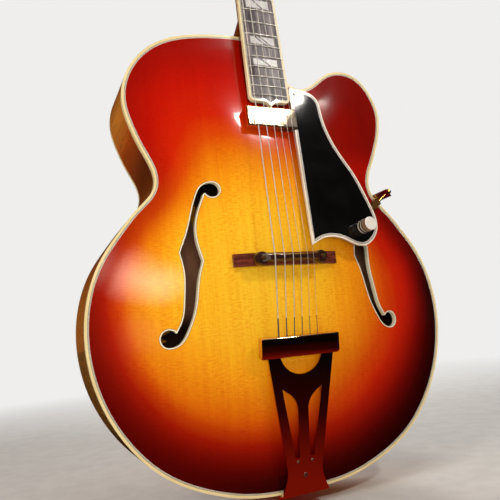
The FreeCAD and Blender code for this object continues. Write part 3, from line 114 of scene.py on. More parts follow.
@dataclass(frozen=True)
class Plan:
    """Frames of the neck, the headstock and the tailpiece, from the bench drawing."""

    half_depth: float = 43.5 * MM
    pivot_up: float = 552.5 * MM
    pivot_out: float = 17.3 * MM
    neck_tilt: float = math.radians(-4.14)
    nut_line: float = 359.19 * MM
    nut_length: float = 5.0 * MM
    board_wall: float = 6.2 * MM
    head_tilt: float = math.radians(-15.0)
    tail_out: float = 8.5 * MM
    tail_tilt: float = math.radians(8.64)
    scale_length: float = 647.7 * MM

    @property
    def bench(self) -> Matrix:
        """Bench drawing to the upright guitar."""
        return Matrix.Translation((0, -self.half_depth, 0)) @ Matrix.Rotation(math.pi / 2, 4, "X")

    @property
    def neck(self) -> Matrix:
        """Plane of the fingerboard, from the body joint towards the nut."""
        step = Matrix.Translation((0, self.pivot_up, self.pivot_out))
        return self.bench @ step @ Matrix.Rotation(self.neck_tilt, 4, "X")

    @property
    def head(self) -> Matrix:
        """Plane of the headstock's face."""
        step = Matrix.Translation((0, self.nut_line + self.nut_length, -self.board_wall))
        return self.neck @ step @ Matrix.Rotation(self.head_tilt, 4, "X")

    @property
    def tail(self) -> Matrix:
        """Plane of the tailpiece's face."""
        step = Matrix.Translation((0, 0, self.tail_out))
        return self.bench @ step @ Matrix.Rotation(self.tail_tilt, 4, "X")

    def fret(self, number: float) -> float:
        """Distance of a fret from the nut line, down the board."""
        return self.scale_length * (1 - 2 ** (-number / 12))


PLAN = Plan()


class Graph:
    """A node tree under construction, with short calls for the nodes that the finishes share."""

    def __init__(self, tree: bpy.types.NodeTree) -> None:
        """Takes the tree that the nodes go into."""
        self.tree = tree

    def node(self, kind: str, inputs: dict[str, object] | None = None, **settings: object) -> bpy.types.Node:
        """Adds a node.

        Args:
            kind: Type name of the node.
            inputs: A value or an output socket for each input, by its identifier.
            settings: Properties of the node.

        Returns:
            The new node.
        """
        made = self.tree.nodes.new(kind)
        for name, value in settings.items():
            setattr(made, name, value)
        self.feed(made, inputs or {})
        return made

    def feed(self, node: bpy.types.Node, inputs: dict[str, object]) -> None:
        """Sets or links inputs of a node.

        Args:
            node: The node that is fed.
            inputs: A value or an output socket for each input, by its identifier.
        """
        sockets = {socket.identifier: socket for socket in node.inputs}
        for name, value in inputs.items():
            if isinstance(value, Socket):
                self.tree.links.new(value, sockets[name])
            else:
                sockets[name].default_value = value

    def math(self, operation: str, a: object, b: object = 0.0, clamp: bool = False) -> Socket:
        """Result of a Math node on two values."""
        inputs = {"Value": a, "Value_001": b}
        return self.node("ShaderNodeMath", inputs, operation=operation, use_clamp=clamp).outputs[0]

    def times(self, a: object, b: object) -> Socket:
        """Product of two values."""
        return self.math("MULTIPLY", a, b)

    def plus(self, a: object, b: object, clamp: bool = False) -> Socket:
        """Sum of two values, held between 0 and 1 if asked."""
        return self.math("ADD", a, b, clamp)

    def minus(self, a: object, b: object, clamp: bool = False) -> Socket:
        """Difference of two values, held between 0 and 1 if asked."""
        return self.math("SUBTRACT", a, b, clamp)

    def size(self, value: object) -> Socket:
        """Value without its sign."""
        return self.math("ABSOLUTE", value)

    def swing(self, value: object, amount: object) -> Socket:
        """Value between 0 and 1 taken about its middle, times an amount."""
        return self.times(self.minus(value, 0.5), amount)

    def hypot(self, a: Socket, b: Socket) -> Socket:
        """Distance from two sides at right angles."""
        return self.math("SQRT", self.plus(self.times(a, a), self.times(b, b)))

    def weighed(self, values: Sequence[Socket], weights: Sequence[float]) -> Socket:
        """Sum of values, each times its weight."""
        return reduce(self.plus, [self.times(value, weight) for value, weight in zip(values, weights)])

    def vector(self, x: object, y: object, z: object) -> Socket:
        """Vector from its three parts."""
        return self.node("ShaderNodeCombineXYZ", {"X": x, "Y": y, "Z": z}).outputs[0]

    def span(self, value: object, low: object, high: object, start: object = 0.0,
             end: object = 1.0) -> Socket:
        """Value carried smoothly from one range to another and held at its ends."""
        ends = {"Value": value, "From Min": low, "From Max": high, "To Min": start, "To Max": end}
        return self.node("ShaderNodeMapRange", ends, interpolation_type="SMOOTHSTEP").outputs[0]

    def mix(self, share: object, a: object, b: object, mode: str = "MIX") -> Socket:
        """Mixes two colours.

        Args:
            share: Share of the second colour.
            a: The first colour.
            b: The second colour.
            mode: How the second colour is laid over the first.

        Returns:
            The colour socket.
        """
        made = self.node("ShaderNodeMix", {}, data_type="RGBA", blend_type=mode)
        self.feed(made, {"Factor_Float": share, "A_Color": a, "B_Color": b})
        return next(socket for socket in made.outputs if socket.identifier == "Result_Color")

    def shade(self, colour: object, value: Socket) -> Socket:
        """Colour multiplied by a grey value."""
        return self.mix(1.0, colour, value, "MULTIPLY")

    def ramp(self, value: Socket, stops: Sequence[tuple[float, str]]) -> Socket:
        """Colour from a row of stops.

        Args:
            value: Place along the row.
            stops: Place and screen colour of each stop.

        Returns:
            The colour socket.
        """
        made = self.node("ShaderNodeValToRGB", {"Fac": value})
        elements = made.color_ramp.elements
        while len(elements) < len(stops):
            elements.new(1.0)
        for element, (place, code) in zip(elements, stops):
            element.position = place
            element.color = linear(code)
        return made.outputs[0]

    def here(self) -> Socket:
        """Object coordinates, which are metres in the guitar's frame."""
        return self.node("ShaderNodeTexCoord").outputs["Object"]

    def parts(self, vector: Socket) -> tuple[Socket, Socket, Socket]:
        """The three parts of a vector."""
        outputs = self.node("ShaderNodeSeparateXYZ", {"Vector": vector}).outputs
        return outputs[0], outputs[1], outputs[2]

    def stretch(self, vector: Socket, scale: Sequence[float], turn: Sequence[float] = (0, 0, 0)) -> Socket:
        """Coordinates turned and scaled along each axis."""
        made = self.node("ShaderNodeMapping", {"Vector": vector, "Rotation": turn, "Scale": scale})
        return made.outputs[0]

    def noise(self, vector: Socket, scale: object, detail: float, distortion: float = 0.0) -> Socket:
        """Cloudy value between 0 and 1."""
        inputs = {"Vector": vector, "Scale": scale, "Detail": detail, "Distortion": distortion}
        return self.node("ShaderNodeTexNoise", inputs).outputs["Fac"]

    def attribute(self, name: str) -> Socket:
        """A value that a mesh carries on its points."""
        return self.node("ShaderNodeAttribute", attribute_name=name).outputs["Fac"]

    def bump(self, height: Socket, depth: float, strength: float = 1.0) -> Socket:
        """Normal from a height in shares of a depth."""
        inputs = {"Height": height, "Distance": depth, "Strength": strength}
        return self.node("ShaderNodeBump", inputs).outputs[0]

    def group(self, effect: "Effect", inputs: dict[str, object]) -> dict[str, Socket]:
        """Places a shared effect.

        Args:
            effect: Which effect.
            inputs: A value or an output socket for each input, by name.

        Returns:
            The effect's outputs by name.
        """
        made = self.node("ShaderNodeGroup", node_tree=effect_tree(effect))
        names = {socket.name: socket.identifier for socket in made.inputs}
        self.feed(made, {names[name]: value for name, value in inputs.items()})
        return {socket.name: socket for socket in made.outputs}


@dataclass(frozen=True)
class SharedEffect:
    """A surface effect that several finishes share, built once as a node group."""

    inputs: ClassVar[dict[str, str]] = {}
    outputs: ClassVar[dict[str, str]] = {}
    name: str

    def make(self) -> bpy.types.NodeTree:
        """Builds the group with its named sockets."""
        tree = bpy.data.node_groups.new(self.name, "ShaderNodeTree")
        for where, sockets in (("INPUT", self.inputs), ("OUTPUT", self.outputs)):
            for label, kind in sockets.items():
                tree.interface.new_socket(label, in_out=where, socket_type="NodeSocket" + kind)
        graph = Graph(tree)
        given, last = graph.node("NodeGroupInput"), graph.node("NodeGroupOutput")
        results = self.wire(graph, {socket.name: socket for socket in given.outputs})
        names = {socket.name: socket.identifier for socket in last.inputs}
        graph.feed(last, {names[label]: value for label, value in results.items()})
        return tree

    def wire(self, g: Graph, given: dict[str, Socket]) -> dict[str, Socket]:
        """Wires the effect.

        Args:
            g: The group's graph.
            given: The group's inputs by name.

        Returns:
            The group's outputs by name.
        """
        raise NotImplementedError


@dataclass(frozen=True)
class Grain(SharedEffect):
    """Year rings and silk of quartered softwood, running along Z and mirrored at the middle seam."""

    inputs = {"Vector": "Vector", "Lines": "Float", "Contrast": "Float"}
    outputs = {"Shade": "Float", "Height": "Float"}
    ring_length: float = 0.012
    ring_depth: float = 40.0
    band_scale: float = 0.09
    wander_scale: float = 60.0
    wander: float = 5.0
    silk_across: float = 150.0
    silk_along: float = 640.0
    patch_scale: float = 28.0
    patches: Span = (0.40, 0.60, 0.45, 1.0)
    weights: tuple[float, ...] = (0.5, 0.5, 1.35)

    def wire(self, g: Graph, given: dict[str, Socket]) -> dict[str, Socket]:
        """Wires the effect; see SharedEffect.wire."""
        here, lines = given["Vector"], given["Lines"]
        x, y, z = g.parts(here)
        aside = g.size(x)
        along = g.times(g.times(z, lines), self.ring_length)
        laid = g.vector(g.times(aside, lines), g.times(y, self.ring_depth), along)
        rings = g.noise(laid, 1.0, 3.0)
        bands = g.noise(laid, self.band_scale, 2.0)
        wander = g.times(g.noise(here, self.wander_scale, 1.0), self.wander)
        threads = g.vector(g.times(aside, self.silk_across), 0.0, g.plus(g.times(z, self.silk_along), wander))
        patches = g.span(g.noise(here, self.patch_scale, 2.0), *self.patches)
        silk = g.swing(g.noise(threads, 1.0, 2.0), patches)
        both = g.weighed((rings, bands, silk), self.weights)
        return {"Shade": g.plus(g.swing(both, given["Contrast"]), 1.0), "Height": both}


@dataclass(frozen=True)
class Curl(SharedEffect):
    """Curl of maple: soft bars that vary along the vector's X."""

    inputs = {"Vector": "Vector", "Bars": "Float", "Contrast": "Float"}
    outputs = {"Shade": "Float", "Height": "Float"}
    bar_length: float = 14.0
    thin_scale: float = 2.6
    pore_scale: tuple[float, float, float] = (160.0, 1500.0, 1500.0)
    weights: tuple[float, ...] = (0.6, 0.25, 0.15)

    def wire(self, g: Graph, given: dict[str, Socket]) -> dict[str, Socket]:
        """Wires the effect; see SharedEffect.wire."""
        x, y, z = g.parts(given["Vector"])
        laid = g.vector(g.times(x, given["Bars"]), g.times(y, self.bar_length), g.times(z, self.bar_length))
        broad = g.noise(laid, 1.0, 1.0, 0.6)
        thin = g.noise(laid, self.thin_scale, 1.0, 0.4)
        pores = g.noise(g.stretch(given["Vector"], self.pore_scale), 1.0, 2.0)
        both = g.weighed((broad, thin, pores), self.weights)
        return {"Shade": g.plus(g.swing(both, given["Contrast"]), 1.0), "Height": pores}


@dataclass(frozen=True)
class Handling(SharedEffect):
    """Smudges and fine scratches on a polished skin."""

    inputs = {"Vector": "Vector", "Roughness": "Float", "Spread": "Float"}
    outputs = {"Roughness": "Float", "Height": "Float"}
    smudge_scale: float = 22.0
    scratch_scale: tuple[float, float, float] = (900.0, 900.0, 60.0)
    scratch_turn: tuple[float, float, float] = (0.3, 0.2, 0.4)
    weights: tuple[float, ...] = (0.7, 0.3)

    def wire(self, g: Graph, given: dict[str, Socket]) -> dict[str, Socket]:
        """Wires the effect; see SharedEffect.wire."""
        smudge = g.noise(given["Vector"], self.smudge_scale, 3.0)
        scratch = g.noise(g.stretch(given["Vector"], self.scratch_scale, self.scratch_turn), 1.0, 2.0)
        both = g.weighed((smudge, scratch), self.weights)
        rough = g.plus(g.swing(both, given["Spread"]), given["Roughness"], clamp=True)
        return {"Roughness": rough, "Height": scratch}


@dataclass(frozen=True)
class Sunburst(SharedEffect):
    """Sprayed sunburst from a gold middle to dark red, darkest along the edge and at the horn, with painted
    light from the upper left: the middle shifted to the bass side, and an edge made darker towards the bottom
    and the treble side as painted shade.
    """

    inputs = {"Vector": "Vector", "Edge": "Float"}
    outputs = {"Color": "Color"}
    # The middle sits towards the bass side: painted light from the left.
    middle: tuple[float, float] = (-42.0 * MM, 247.0 * MM)
    squeeze: tuple[float, float] = (0.98, 1.045)
    reach: float = 320.0 * MM
    stops: tuple[tuple[float, str], ...] = (
        (0.0, "ffce33"), (0.27, "fdc026"), (0.385, "f8a518"), (0.48, "e8800a"),
        (0.56, "d84d05"), (0.65, "ce2403"), (0.80, "c01403"), (1.0, "aa0f02"))
    cloud_scale: float = 16.0
    cloud: float = 14.0 * MM
    drawn_in: Span = (0.0, 70.0 * MM, 50.0 * MM, 0.0)
    # The dark edge is the spray's own; it grows deeper and stronger towards the bottom and on the treble
    # side, and weaker on the bass side, as painted shade and painted light from the upper left.
    depth_up: Span = (20.0 * MM, 280.0 * MM, 98.0 * MM, 30.0 * MM)
    depth_aside: Span = (0.0, 160.0 * MM, 1.0, 1.35)
    weight_up: Span = (50.0 * MM, 420.0 * MM, 1.0, 0.2)
    weight_aside: Span = (-200.0 * MM, 0.0, 0.85, 1.0)
    treble_up: Span = (380.0 * MM, 330.0 * MM, 0.0, 1.0)
    treble_aside: Span = (80.0 * MM, 170.0 * MM, 0.0, 0.35)
    horn_up: Span = (360.0 * MM, 420.0 * MM, 0.0, 1.0)
    horn_aside: Span = (45.0 * MM, 100.0 * MM, 0.0, 0.5)
    darkest: float = 0.97
    dark: str = "140101"

    def wire(self, g: Graph, given: dict[str, Socket]) -> dict[str, Socket]:
        """Wires the effect; see SharedEffect.wire."""
        edge = given["Edge"]
        x, _, z = g.parts(given["Vector"])
        aside = g.times(g.minus(x, self.middle[0]), self.squeeze[0])
        up = g.times(g.minus(z, self.middle[1]), self.squeeze[1])
        cloud = g.swing(g.noise(given["Vector"], self.cloud_scale, 2.0), self.cloud)
        drawn_in = g.plus(cloud, g.span(edge, *self.drawn_in))
        place = g.times(g.plus(g.hypot(aside, up), drawn_in), 1 / self.reach)
        colour = g.ramp(place, self.stops)
        depth = g.times(g.span(z, *self.depth_up), g.span(x, *self.depth_aside))
        weight = g.times(g.span(z, *self.weight_up), g.span(x, *self.weight_aside))
        treble = g.times(g.span(x, *self.treble_aside), g.span(z, *self.treble_up))
        near = g.times(g.span(edge, 0.0, depth, self.darkest, 0.0), g.plus(weight, treble, clamp=True))
        horn = g.times(g.span(x, *self.horn_aside), g.span(z, *self.horn_up))
        return {"Color": g.mix(g.math("MAXIMUM", near, horn), colour, linear(self.dark))}


@dataclass(frozen=True)
class Plies(SharedEffect):
    """Pale and dark plies counted outwards from a joint, then the thick outer strip."""

    inputs = {"Distance": "Float", "Ply": "Float", "Lines": "Float", "Pale": "Color", "Dark": "Color",
              "Outer": "Color"}
    outputs = {"Color": "Color"}

    def wire(self, g: Graph, given: dict[str, Socket]) -> dict[str, Socket]:
        """Wires the effect; see SharedEffect.wire."""
        count = g.math("FLOOR", g.math("DIVIDE", given["Distance"], given["Ply"]))
        odd = g.math("FLOORED_MODULO", count, 2.0)
        lines = g.mix(odd, given["Pale"], given["Dark"])
        return {"Color": g.mix(g.math("LESS_THAN", count, given["Lines"]), given["Outer"], lines)}


@dataclass(frozen=True)
class Tarnish(SharedEffect):
    """Where plating has dulled or worn through."""

    inputs = {"Vector": "Vector", "Scale": "Float", "Amount": "Float"}
    outputs = {"Mask": "Float", "Height": "Float"}
    pit_scale: float = 14.0
    weights: tuple[float, ...] = (0.75, 0.25)
    clean: float = 0.78
    gain: float = 0.5
    softness: float = 0.16

    def wire(self, g: Graph, given: dict[str, Socket]) -> dict[str, Socket]:
        """Wires the effect; see SharedEffect.wire."""
        patch = g.noise(given["Vector"], given["Scale"], 4.0, 0.4)
        pits = g.noise(given["Vector"], g.times(given["Scale"], self.pit_scale), 2.0)
        both = g.weighed((patch, pits), self.weights)
        edge = g.minus(self.clean, g.times(given["Amount"], self.gain))
        return {"Mask": g.span(both, edge, g.plus(edge, self.softness)), "Height": pits}


class Effect(Enum):
    """The shared surface effects."""

    GRAIN = Grain("straight grain")
    CURL = Curl("curl figure")
    HANDLING = Handling("handling marks")
    BURST = Sunburst("sunburst")
    PLIES = Plies("ply lines")
    TARNISH = Tarnish("tarnish")


@cache
def effect_tree(effect: Effect) -> bpy.types.NodeTree:
    """The node group of an effect, built when a finish first asks for it."""
    return effect.value.make()


@dataclass(frozen=True)
class Finish:
    """A named material. Each kind of finish wires its own look."""

    name: str

    def make(self) -> bpy.types.Material:
        """Builds the material."""
        material = bpy.data.materials.new(self.name)
        material.use_nodes = True
        graph = Graph(material.node_tree)
        graph.tree.nodes.clear()
        shader = graph.node("ShaderNodeBsdfPrincipled")
        self.wire(graph, shader)
        graph.node("ShaderNodeOutputMaterial", {"Surface": self.surface(graph, shader)})
        return material

    def wire(self, graph: Graph, shader: Shader) -> None:
        """Feeds the shader.

        Args:
            graph: The material's graph.
            shader: Its Principled node.
        """
        raise NotImplementedError

    def surface(self, graph: Graph, shader: Shader) -> Socket:
        """Chooses what the material shows.

        Args:
            graph: The material's graph.
            shader: Its Principled node.

        Returns:
            The shader's own output, unless a finish adds to it.
        """
        return shader.outputs["BSDF"]


class Figure(Enum):
    """Wood of a lacquered plate, with the tint of its darker streaks."""

    SPRUCE = "f2cf9a"
    MAPLE = "d08c4a"


@dataclass(frozen=True)
class BurstLacquer(Finish):
    """Sunburst under gloss lacquer, bare wood on the inside with painted shade that darkens it away from the
    waist.
    """

    figure: Figure = Figure.SPRUCE
    bare: str = "a5745a"
    waist: float = 280.0 * MM
    # Painted shade on the bare inside: full colour near the waist, dark further away.
    interior_painted_shade: Span = (55.0 * MM, 85.0 * MM, 1.0, 0.1)
    lean: float = 0.22
    streaks: tuple[float, float] = (1.25, 0.6)

    def wire(self, graph: Graph, shader: Shader) -> None:
        """Feeds the shader; see Finish.wire."""
        here = graph.here()
        x, y, z = graph.parts(here)
        inside = graph.attribute("inside")
        colour = graph.group(Effect.BURST, {"Vector": here, "Edge": graph.attribute("edge")})["Color"]
        if self.figure is Figure.SPRUCE:
            wood = graph.group(Effect.GRAIN, {"Vector": here, "Lines": 800.0, "Contrast": 1.05})
            raw = wood
        else:
            bars = graph.vector(graph.plus(z, graph.times(graph.size(x), self.lean)), y, x)
            wood = graph.group(Effect.CURL, {"Vector": bars, "Bars": 120.0, "Contrast": 1.1})
            raw = graph.group(Effect.GRAIN, {"Vector": here, "Lines": 1100.0, "Contrast": 0.5})
        skin = graph.group(Effect.HANDLING, {"Vector": here, "Roughness": 0.16, "Spread": 0.10})
        streak = graph.span(wood["Shade"], *self.streaks)
        lacquer = graph.shade(colour, graph.mix(streak, linear("ffffff"), linear(self.figure.value)))
        # Painted shade that darkens the bare inside away from the waist.
        interior_painted_shade = graph.span(graph.size(graph.minus(z, self.waist)), *self.interior_painted_shade)
        plain = graph.shade(linear(self.bare), graph.times(raw["Shade"], interior_painted_shade))
        graph.feed(shader, {
            "Base Color": graph.mix(inside, lacquer, plain),
            "Roughness": graph.math("MAXIMUM", graph.times(inside, 0.7), skin["Roughness"]),
            "Coat Weight": graph.minus(1.0, inside),
            "Coat Roughness": 0.06,
            "Specular IOR Level": 0.15,
            "Normal": graph.bump(wood["Height"], 0.06 * MM, 0.2)})


@dataclass(frozen=True)
class RimLacquer(Finish):
    """Stained curly maple of the rims under gloss lacquer, darkest at the waist, where the dark is partly
    stain and partly painted shade.
    """

    pale: str = "e8993a"
    mid: str = "a8400c"
    dark: str = "3c0502"
    bare: str = "a97f5c"
    lean: float = 0.6
    waist: float = 345.0 * MM
    darkening: Span = (20.0 * MM, 120.0 * MM, 0.95, 0.04)
    cloud_scale: float = 7.0
    cloud: float = 0.5

    def wire(self, graph: Graph, shader: Shader) -> None:
        """Feeds the shader; see Finish.wire."""
        here = graph.here()
        x, y, z = graph.parts(here)
        inside = graph.attribute("inside")
        across = graph.vector(graph.plus(z, graph.times(x, self.lean)), y, x)
        wood = graph.group(Effect.CURL, {"Vector": across, "Bars": 130.0, "Contrast": 1.0})
        cloud = graph.swing(graph.noise(here, self.cloud_scale, 2.0), self.cloud)
        # Darker towards the waist: partly the stain, partly painted shade.
        place = graph.plus(graph.span(graph.size(graph.minus(z, self.waist)), *self.darkening), cloud)
        base_tone = graph.ramp(place, ((0.0, self.pale), (0.45, self.mid), (0.85, self.dark)))
        skin = graph.group(Effect.HANDLING, {"Vector": here, "Roughness": 0.18, "Spread": 0.12})
        lacquer = graph.shade(base_tone, wood["Shade"])
        plain = graph.shade(linear(self.bare), wood["Shade"])
        graph.feed(shader, {
            "Base Color": graph.mix(inside, lacquer, plain),
            "Roughness": graph.math("MAXIMUM", graph.times(inside, 0.7), skin["Roughness"]),
            "Coat Weight": graph.minus(1.0, inside),
            "Coat Roughness": 0.05,
            "Normal": graph.bump(wood["Height"], 0.05 * MM, 0.3)})


@dataclass(frozen=True)
class NeckLacquer(Finish):
    """Dark stained maple of the neck under gloss lacquer, palest at the middle of its length."""

    pale: str = "7d2410"
    dark: str = "2c0704"
    middle: float = 740.0 * MM
    fade: tuple[float, float] = (100.0 * MM, 240.0 * MM)
    cloud_scale: float = 9.0
    cloud: float = 0.5

    def wire(self, graph: Graph, shader: Shader) -> None:
        """Feeds the shader; see Finish.wire."""
        here = graph.here()
        x, y, z = graph.parts(here)
        wood = graph.group(Effect.CURL, {"Vector": graph.vector(z, y, x), "Bars": 150.0, "Contrast": 0.9})
        end = graph.span(graph.size(graph.minus(z, self.middle)), *self.fade)
        cloud = graph.swing(graph.noise(here, self.cloud_scale, 2.0), self.cloud)
        base_tone = graph.mix(graph.plus(end, cloud, clamp=True), linear(self.pale), linear(self.dark))
        skin = graph.group(Effect.HANDLING, {"Vector": here, "Roughness": 0.20, "Spread": 0.16})
        graph.feed(shader, {
            "Base Color": graph.shade(base_tone, wood["Shade"]),
            "Roughness": skin["Roughness"],
            "Coat Weight": 1.0,
            "Coat Roughness": 0.06,
            "Normal": graph.bump(wood["Height"], 0.05 * MM, 0.3)})


@dataclass(frozen=True)
class RawWood(Finish):
    """Unfinished wood inside the body."""

    colour: str = "b98f63"

    def wire(self, graph: Graph, shader: Shader) -> None:
        """Feeds the shader; see Finish.wire."""
        wood = graph.group(Effect.GRAIN, {"Vector": graph.here(), "Lines": 800.0, "Contrast": 0.8})
        graph.feed(shader, {
            "Base Color": graph.shade(linear(self.colour), wood["Shade"]),
            "Roughness": 0.75,
            "Normal": graph.bump(wood["Height"], 0.15 * MM, 0.5)})


class Run(Enum):
    """Direction in which a dark wood's grain runs."""

    ACROSS = (60.0, 1400.0, 1400.0)
    ALONG = (1400.0, 1400.0, 60.0)


@dataclass(frozen=True)
class DarkWood(Finish):
    """Ebony or rosewood with streaks and open pores."""

    pale: str = "3a2c28"
    dark: str = "120d0c"
    run: Run = Run.ALONG
    roughness: float = 0.38
    coat: float = 0.0
    streak_share: float = 0.16
    streaks: tuple[float, float] = (0.36, 0.66)
    pores: Span = (0.30, 0.44, 0.55, 1.0)

    def wire(self, graph: Graph, shader: Shader) -> None:
        """Feeds the shader; see Finish.wire."""
        here = graph.here()
        broad = tuple(scale * self.streak_share for scale in self.run.value)
        streak = graph.noise(graph.stretch(here, broad), 1.0, 3.0, 0.3)
        pores = graph.noise(graph.stretch(here, self.run.value), 1.0, 2.0)
        skin = graph.group(Effect.HANDLING, {"Vector": here, "Roughness": self.roughness, "Spread": 0.22})
        tone = graph.span(streak, *self.streaks)
        colour = graph.mix(tone, linear(self.dark), linear(self.pale))
        dots = graph.span(pores, *self.pores)
        graph.feed(shader, {
            "Base Color": graph.shade(colour, dots),
            "Roughness": skin["Roughness"],
            "Coat Weight": self.coat,
            "Coat Roughness": 0.12,
            "Normal": graph.bump(dots, 0.08 * MM, 0.5)})


@dataclass(frozen=True)
class PlyBinding(Finish):
    """Aged celluloid binding with thin plies next to the joint."""

    ply: float = 0.45 * MM
    lines: float = 5.0
    pale: str = "f8f0de"
    dark: str = "33261d"
    outer: str = "f1dda6"
    aged: str = "dcbb72"
    aging: Span = (0.3, 0.75, 0.0, 0.35)

    def wire(self, graph: Graph, shader: Shader) -> None:
        """Feeds the shader; see Finish.wire."""
        here = graph.here()
        tint = graph.span(graph.noise(here, 26.0, 3.0), *self.aging)
        outer = graph.mix(tint, linear(self.outer), linear(self.aged))
        plies = graph.group(Effect.PLIES, {
            "Distance": graph.attribute("ply"),
            "Ply": self.ply,
            "Lines": self.lines,
            "Pale": linear(self.pale),
            "Dark": linear(self.dark),
            "Outer": outer})
        skin = graph.group(Effect.HANDLING, {"Vector": here, "Roughness": 0.22, "Spread": 0.14})
        graph.feed(shader, {
            "Base Color": plies["Color"],
            "Roughness": skin["Roughness"],
            "Coat Weight": 0.6,
            "Coat Roughness": 0.06,
            "Normal": graph.bump(skin["Height"], 0.02 * MM, 0.3)})


@dataclass(frozen=True)
class PlatedMetal(Finish):
    """Polished plating that has dulled and worn in places."""

    bright: str = "e6bd7c"
    worn: str = "b98d5a"
    roughness: float = 0.16
    scale: float = 90.0
    amount: float = 0.45
    dulling: float = 0.16

    def wire(self, graph: Graph, shader: Shader) -> None:
        """Feeds the shader; see Finish.wire."""
        here = graph.here()
        tarnish = graph.group(Effect.TARNISH, {"Vector": here, "Scale": self.scale, "Amount": self.amount})
        skin = graph.group(Effect.HANDLING, {"Vector": here, "Roughness": self.roughness, "Spread": 0.14})
        dull = graph.times(tarnish["Mask"], self.dulling)
        graph.feed(shader, {
            "Base Color": graph.mix(tarnish["Mask"], linear(self.bright), linear(self.worn)),
            "Metallic": 1.0,
            "Roughness": graph.plus(skin["Roughness"], dull, clamp=True),
            "Normal": graph.bump(tarnish["Height"], 0.02 * MM, 0.25)})


@dataclass(frozen=True)
class GreyEndMetal(PlatedMetal):
    """Plating that turns grey and duller towards the treble end, where the grey is a painted dark reflection.
    """

    # Grey of the painted dark reflection at the treble end.
    rubbed: str = "6d635a"
    grey_end_from: float = 8.0 * MM
    grey_end_to: float = 30.0 * MM
    middle: float = 442.0 * MM
    slope: float = 0.8
    wobble_scale: float = 420.0
    wobble_reach: float = 40.0 * MM
    grey_end_dulling: float = 0.35

    def wire(self, graph: Graph, shader: Shader) -> None:
        """Feeds the shader; see Finish.wire."""
        super().wire(graph, shader)
        here = graph.here()
        x, _, z = graph.parts(here)
        # Noise that wobbles the edge of the painted dark reflection.
        marks = graph.swing(graph.noise(here, self.wobble_scale, 3.0), self.wobble_reach)
        along = graph.minus(x, graph.times(graph.minus(z, self.middle), self.slope))
        mask = graph.span(graph.plus(along, marks), self.grey_end_from, self.grey_end_to)
        plating = shader.inputs["Base Color"].links[0].from_socket
        polish = shader.inputs["Roughness"].links[0].from_socket
        dull = graph.times(mask, self.grey_end_dulling)
        graph.feed(shader, {
            "Base Color": graph.mix(mask, plating, linear(self.rubbed)),
            "Roughness": graph.plus(polish, dull, clamp=True)})


@dataclass(frozen=True)
class Threaded(PlatedMetal):
    """Plated rod with a fine thread turned into it, the rod's axis along Y."""

    pitch: float = 0.7 * MM

    def wire(self, graph: Graph, shader: Shader) -> None:
        """Feeds the shader; see Finish.wire."""
        super().wire(graph, shader)
        _, y, _ = graph.parts(graph.here())
        turn = graph.math("SINE", graph.times(y, math.tau / self.pitch))
        graph.feed(shader, {"Normal": graph.bump(turn, 0.3 * MM, 0.8)})


@dataclass(frozen=True)
class RingedMetal(Finish):
    """Turned knob with a pale face that is partly a painted highlight, and dark bands round its wall that are
    painted shade of its grooves.
    """

    # Bands up the knob's wall: the pale ones are partly painted highlight, the dark ones painted shade of
    # grooves.
    rings: tuple[tuple[float, str], ...] = (
        (0.0, "efe2d0"), (0.12, "efe2d0"), (0.15, "38271b"), (0.26, "38271b"),
        (0.30, "f3e8da"), (0.42, "f3e8da"), (0.45, "463224"), (0.55, "463224"),
        (0.60, "a98868"), (0.88, "8d6c50"), (0.93, "463224"), (0.955, "fdf6ee"))
    foot: tuple[float, float, float] = (104.5 * MM, -254.3 * MM, -1.6 * MM)
    height: float = 17.0 * MM

    def wire(self, graph: Graph, shader: Shader) -> None:
        """Feeds the shader; see Finish.wire."""
        here = graph.here()
        axis = PLAN.neck.to_3x3() @ Vector((0, 0, 1))
        foot = (PLAN.neck @ Vector(self.foot)).dot(axis)
        both = {"Vector": here, "Vector_001": tuple(axis)}
        along = graph.node("ShaderNodeVectorMath", both, operation="DOT_PRODUCT").outputs["Value"]
        share = graph.math("DIVIDE", graph.minus(along, foot), self.height)
        skin = graph.group(Effect.HANDLING, {"Vector": here, "Roughness": 0.30, "Spread": 0.18})
        graph.feed(shader, {
            "Base Color": graph.ramp(share, self.rings),
            "Metallic": 0.3,
            "Roughness": skin["Roughness"],
            "Normal": graph.bump(skin["Height"], 0.03 * MM, 0.4)})


@dataclass(frozen=True)
class WoundWire(Finish):
    """String wire: plain, or wrapped, with silk at the ball end."""

    pitch: float = 0.0
    silk: str = "5d4a44"
    silk_from: float = 0.0
    silk_to: float = 0.0
    bright: str = "f6efe6"
    worn: str = "d2c4b0"
    threads: tuple[float, float, float] = (900.0, 900.0, 5000.0)
    thread_tone: Span = (0.3, 0.7, 0.6, 1.2)
    metallic: float = 0.6
    roughness: float = 0.44
    silk_roughness: float = 0.3

    def wire(self, graph: Graph, shader: Shader) -> None:
        """Feeds the shader; see Finish.wire."""
        run = graph.attribute("run")
        here = graph.here()
        tarnish = graph.group(Effect.TARNISH, {"Vector": here, "Scale": 240.0, "Amount": 0.5})
        metal = graph.mix(tarnish["Mask"], linear(self.bright), linear(self.worn))
        after = graph.math("GREATER_THAN", run, self.silk_from)
        before = graph.math("LESS_THAN", run, self.silk_to)
        silk = graph.times(after, before)
        thread = graph.noise(graph.stretch(here, self.threads), 1.0, 2.0)
        wrap = graph.shade(linear(self.silk), graph.span(thread, *self.thread_tone))
        graph.feed(shader, {
            "Base Color": graph.mix(silk, metal, wrap),
            "Metallic": graph.minus(self.metallic, silk, clamp=True),
            "Roughness": graph.plus(graph.times(silk, self.silk_roughness), self.roughness)})
        if self.pitch:
            turn = graph.math("SINE", graph.times(run, math.tau / self.pitch))
            graph.feed(shader, {"Normal": graph.bump(turn, 0.12 * MM, 0.5)})


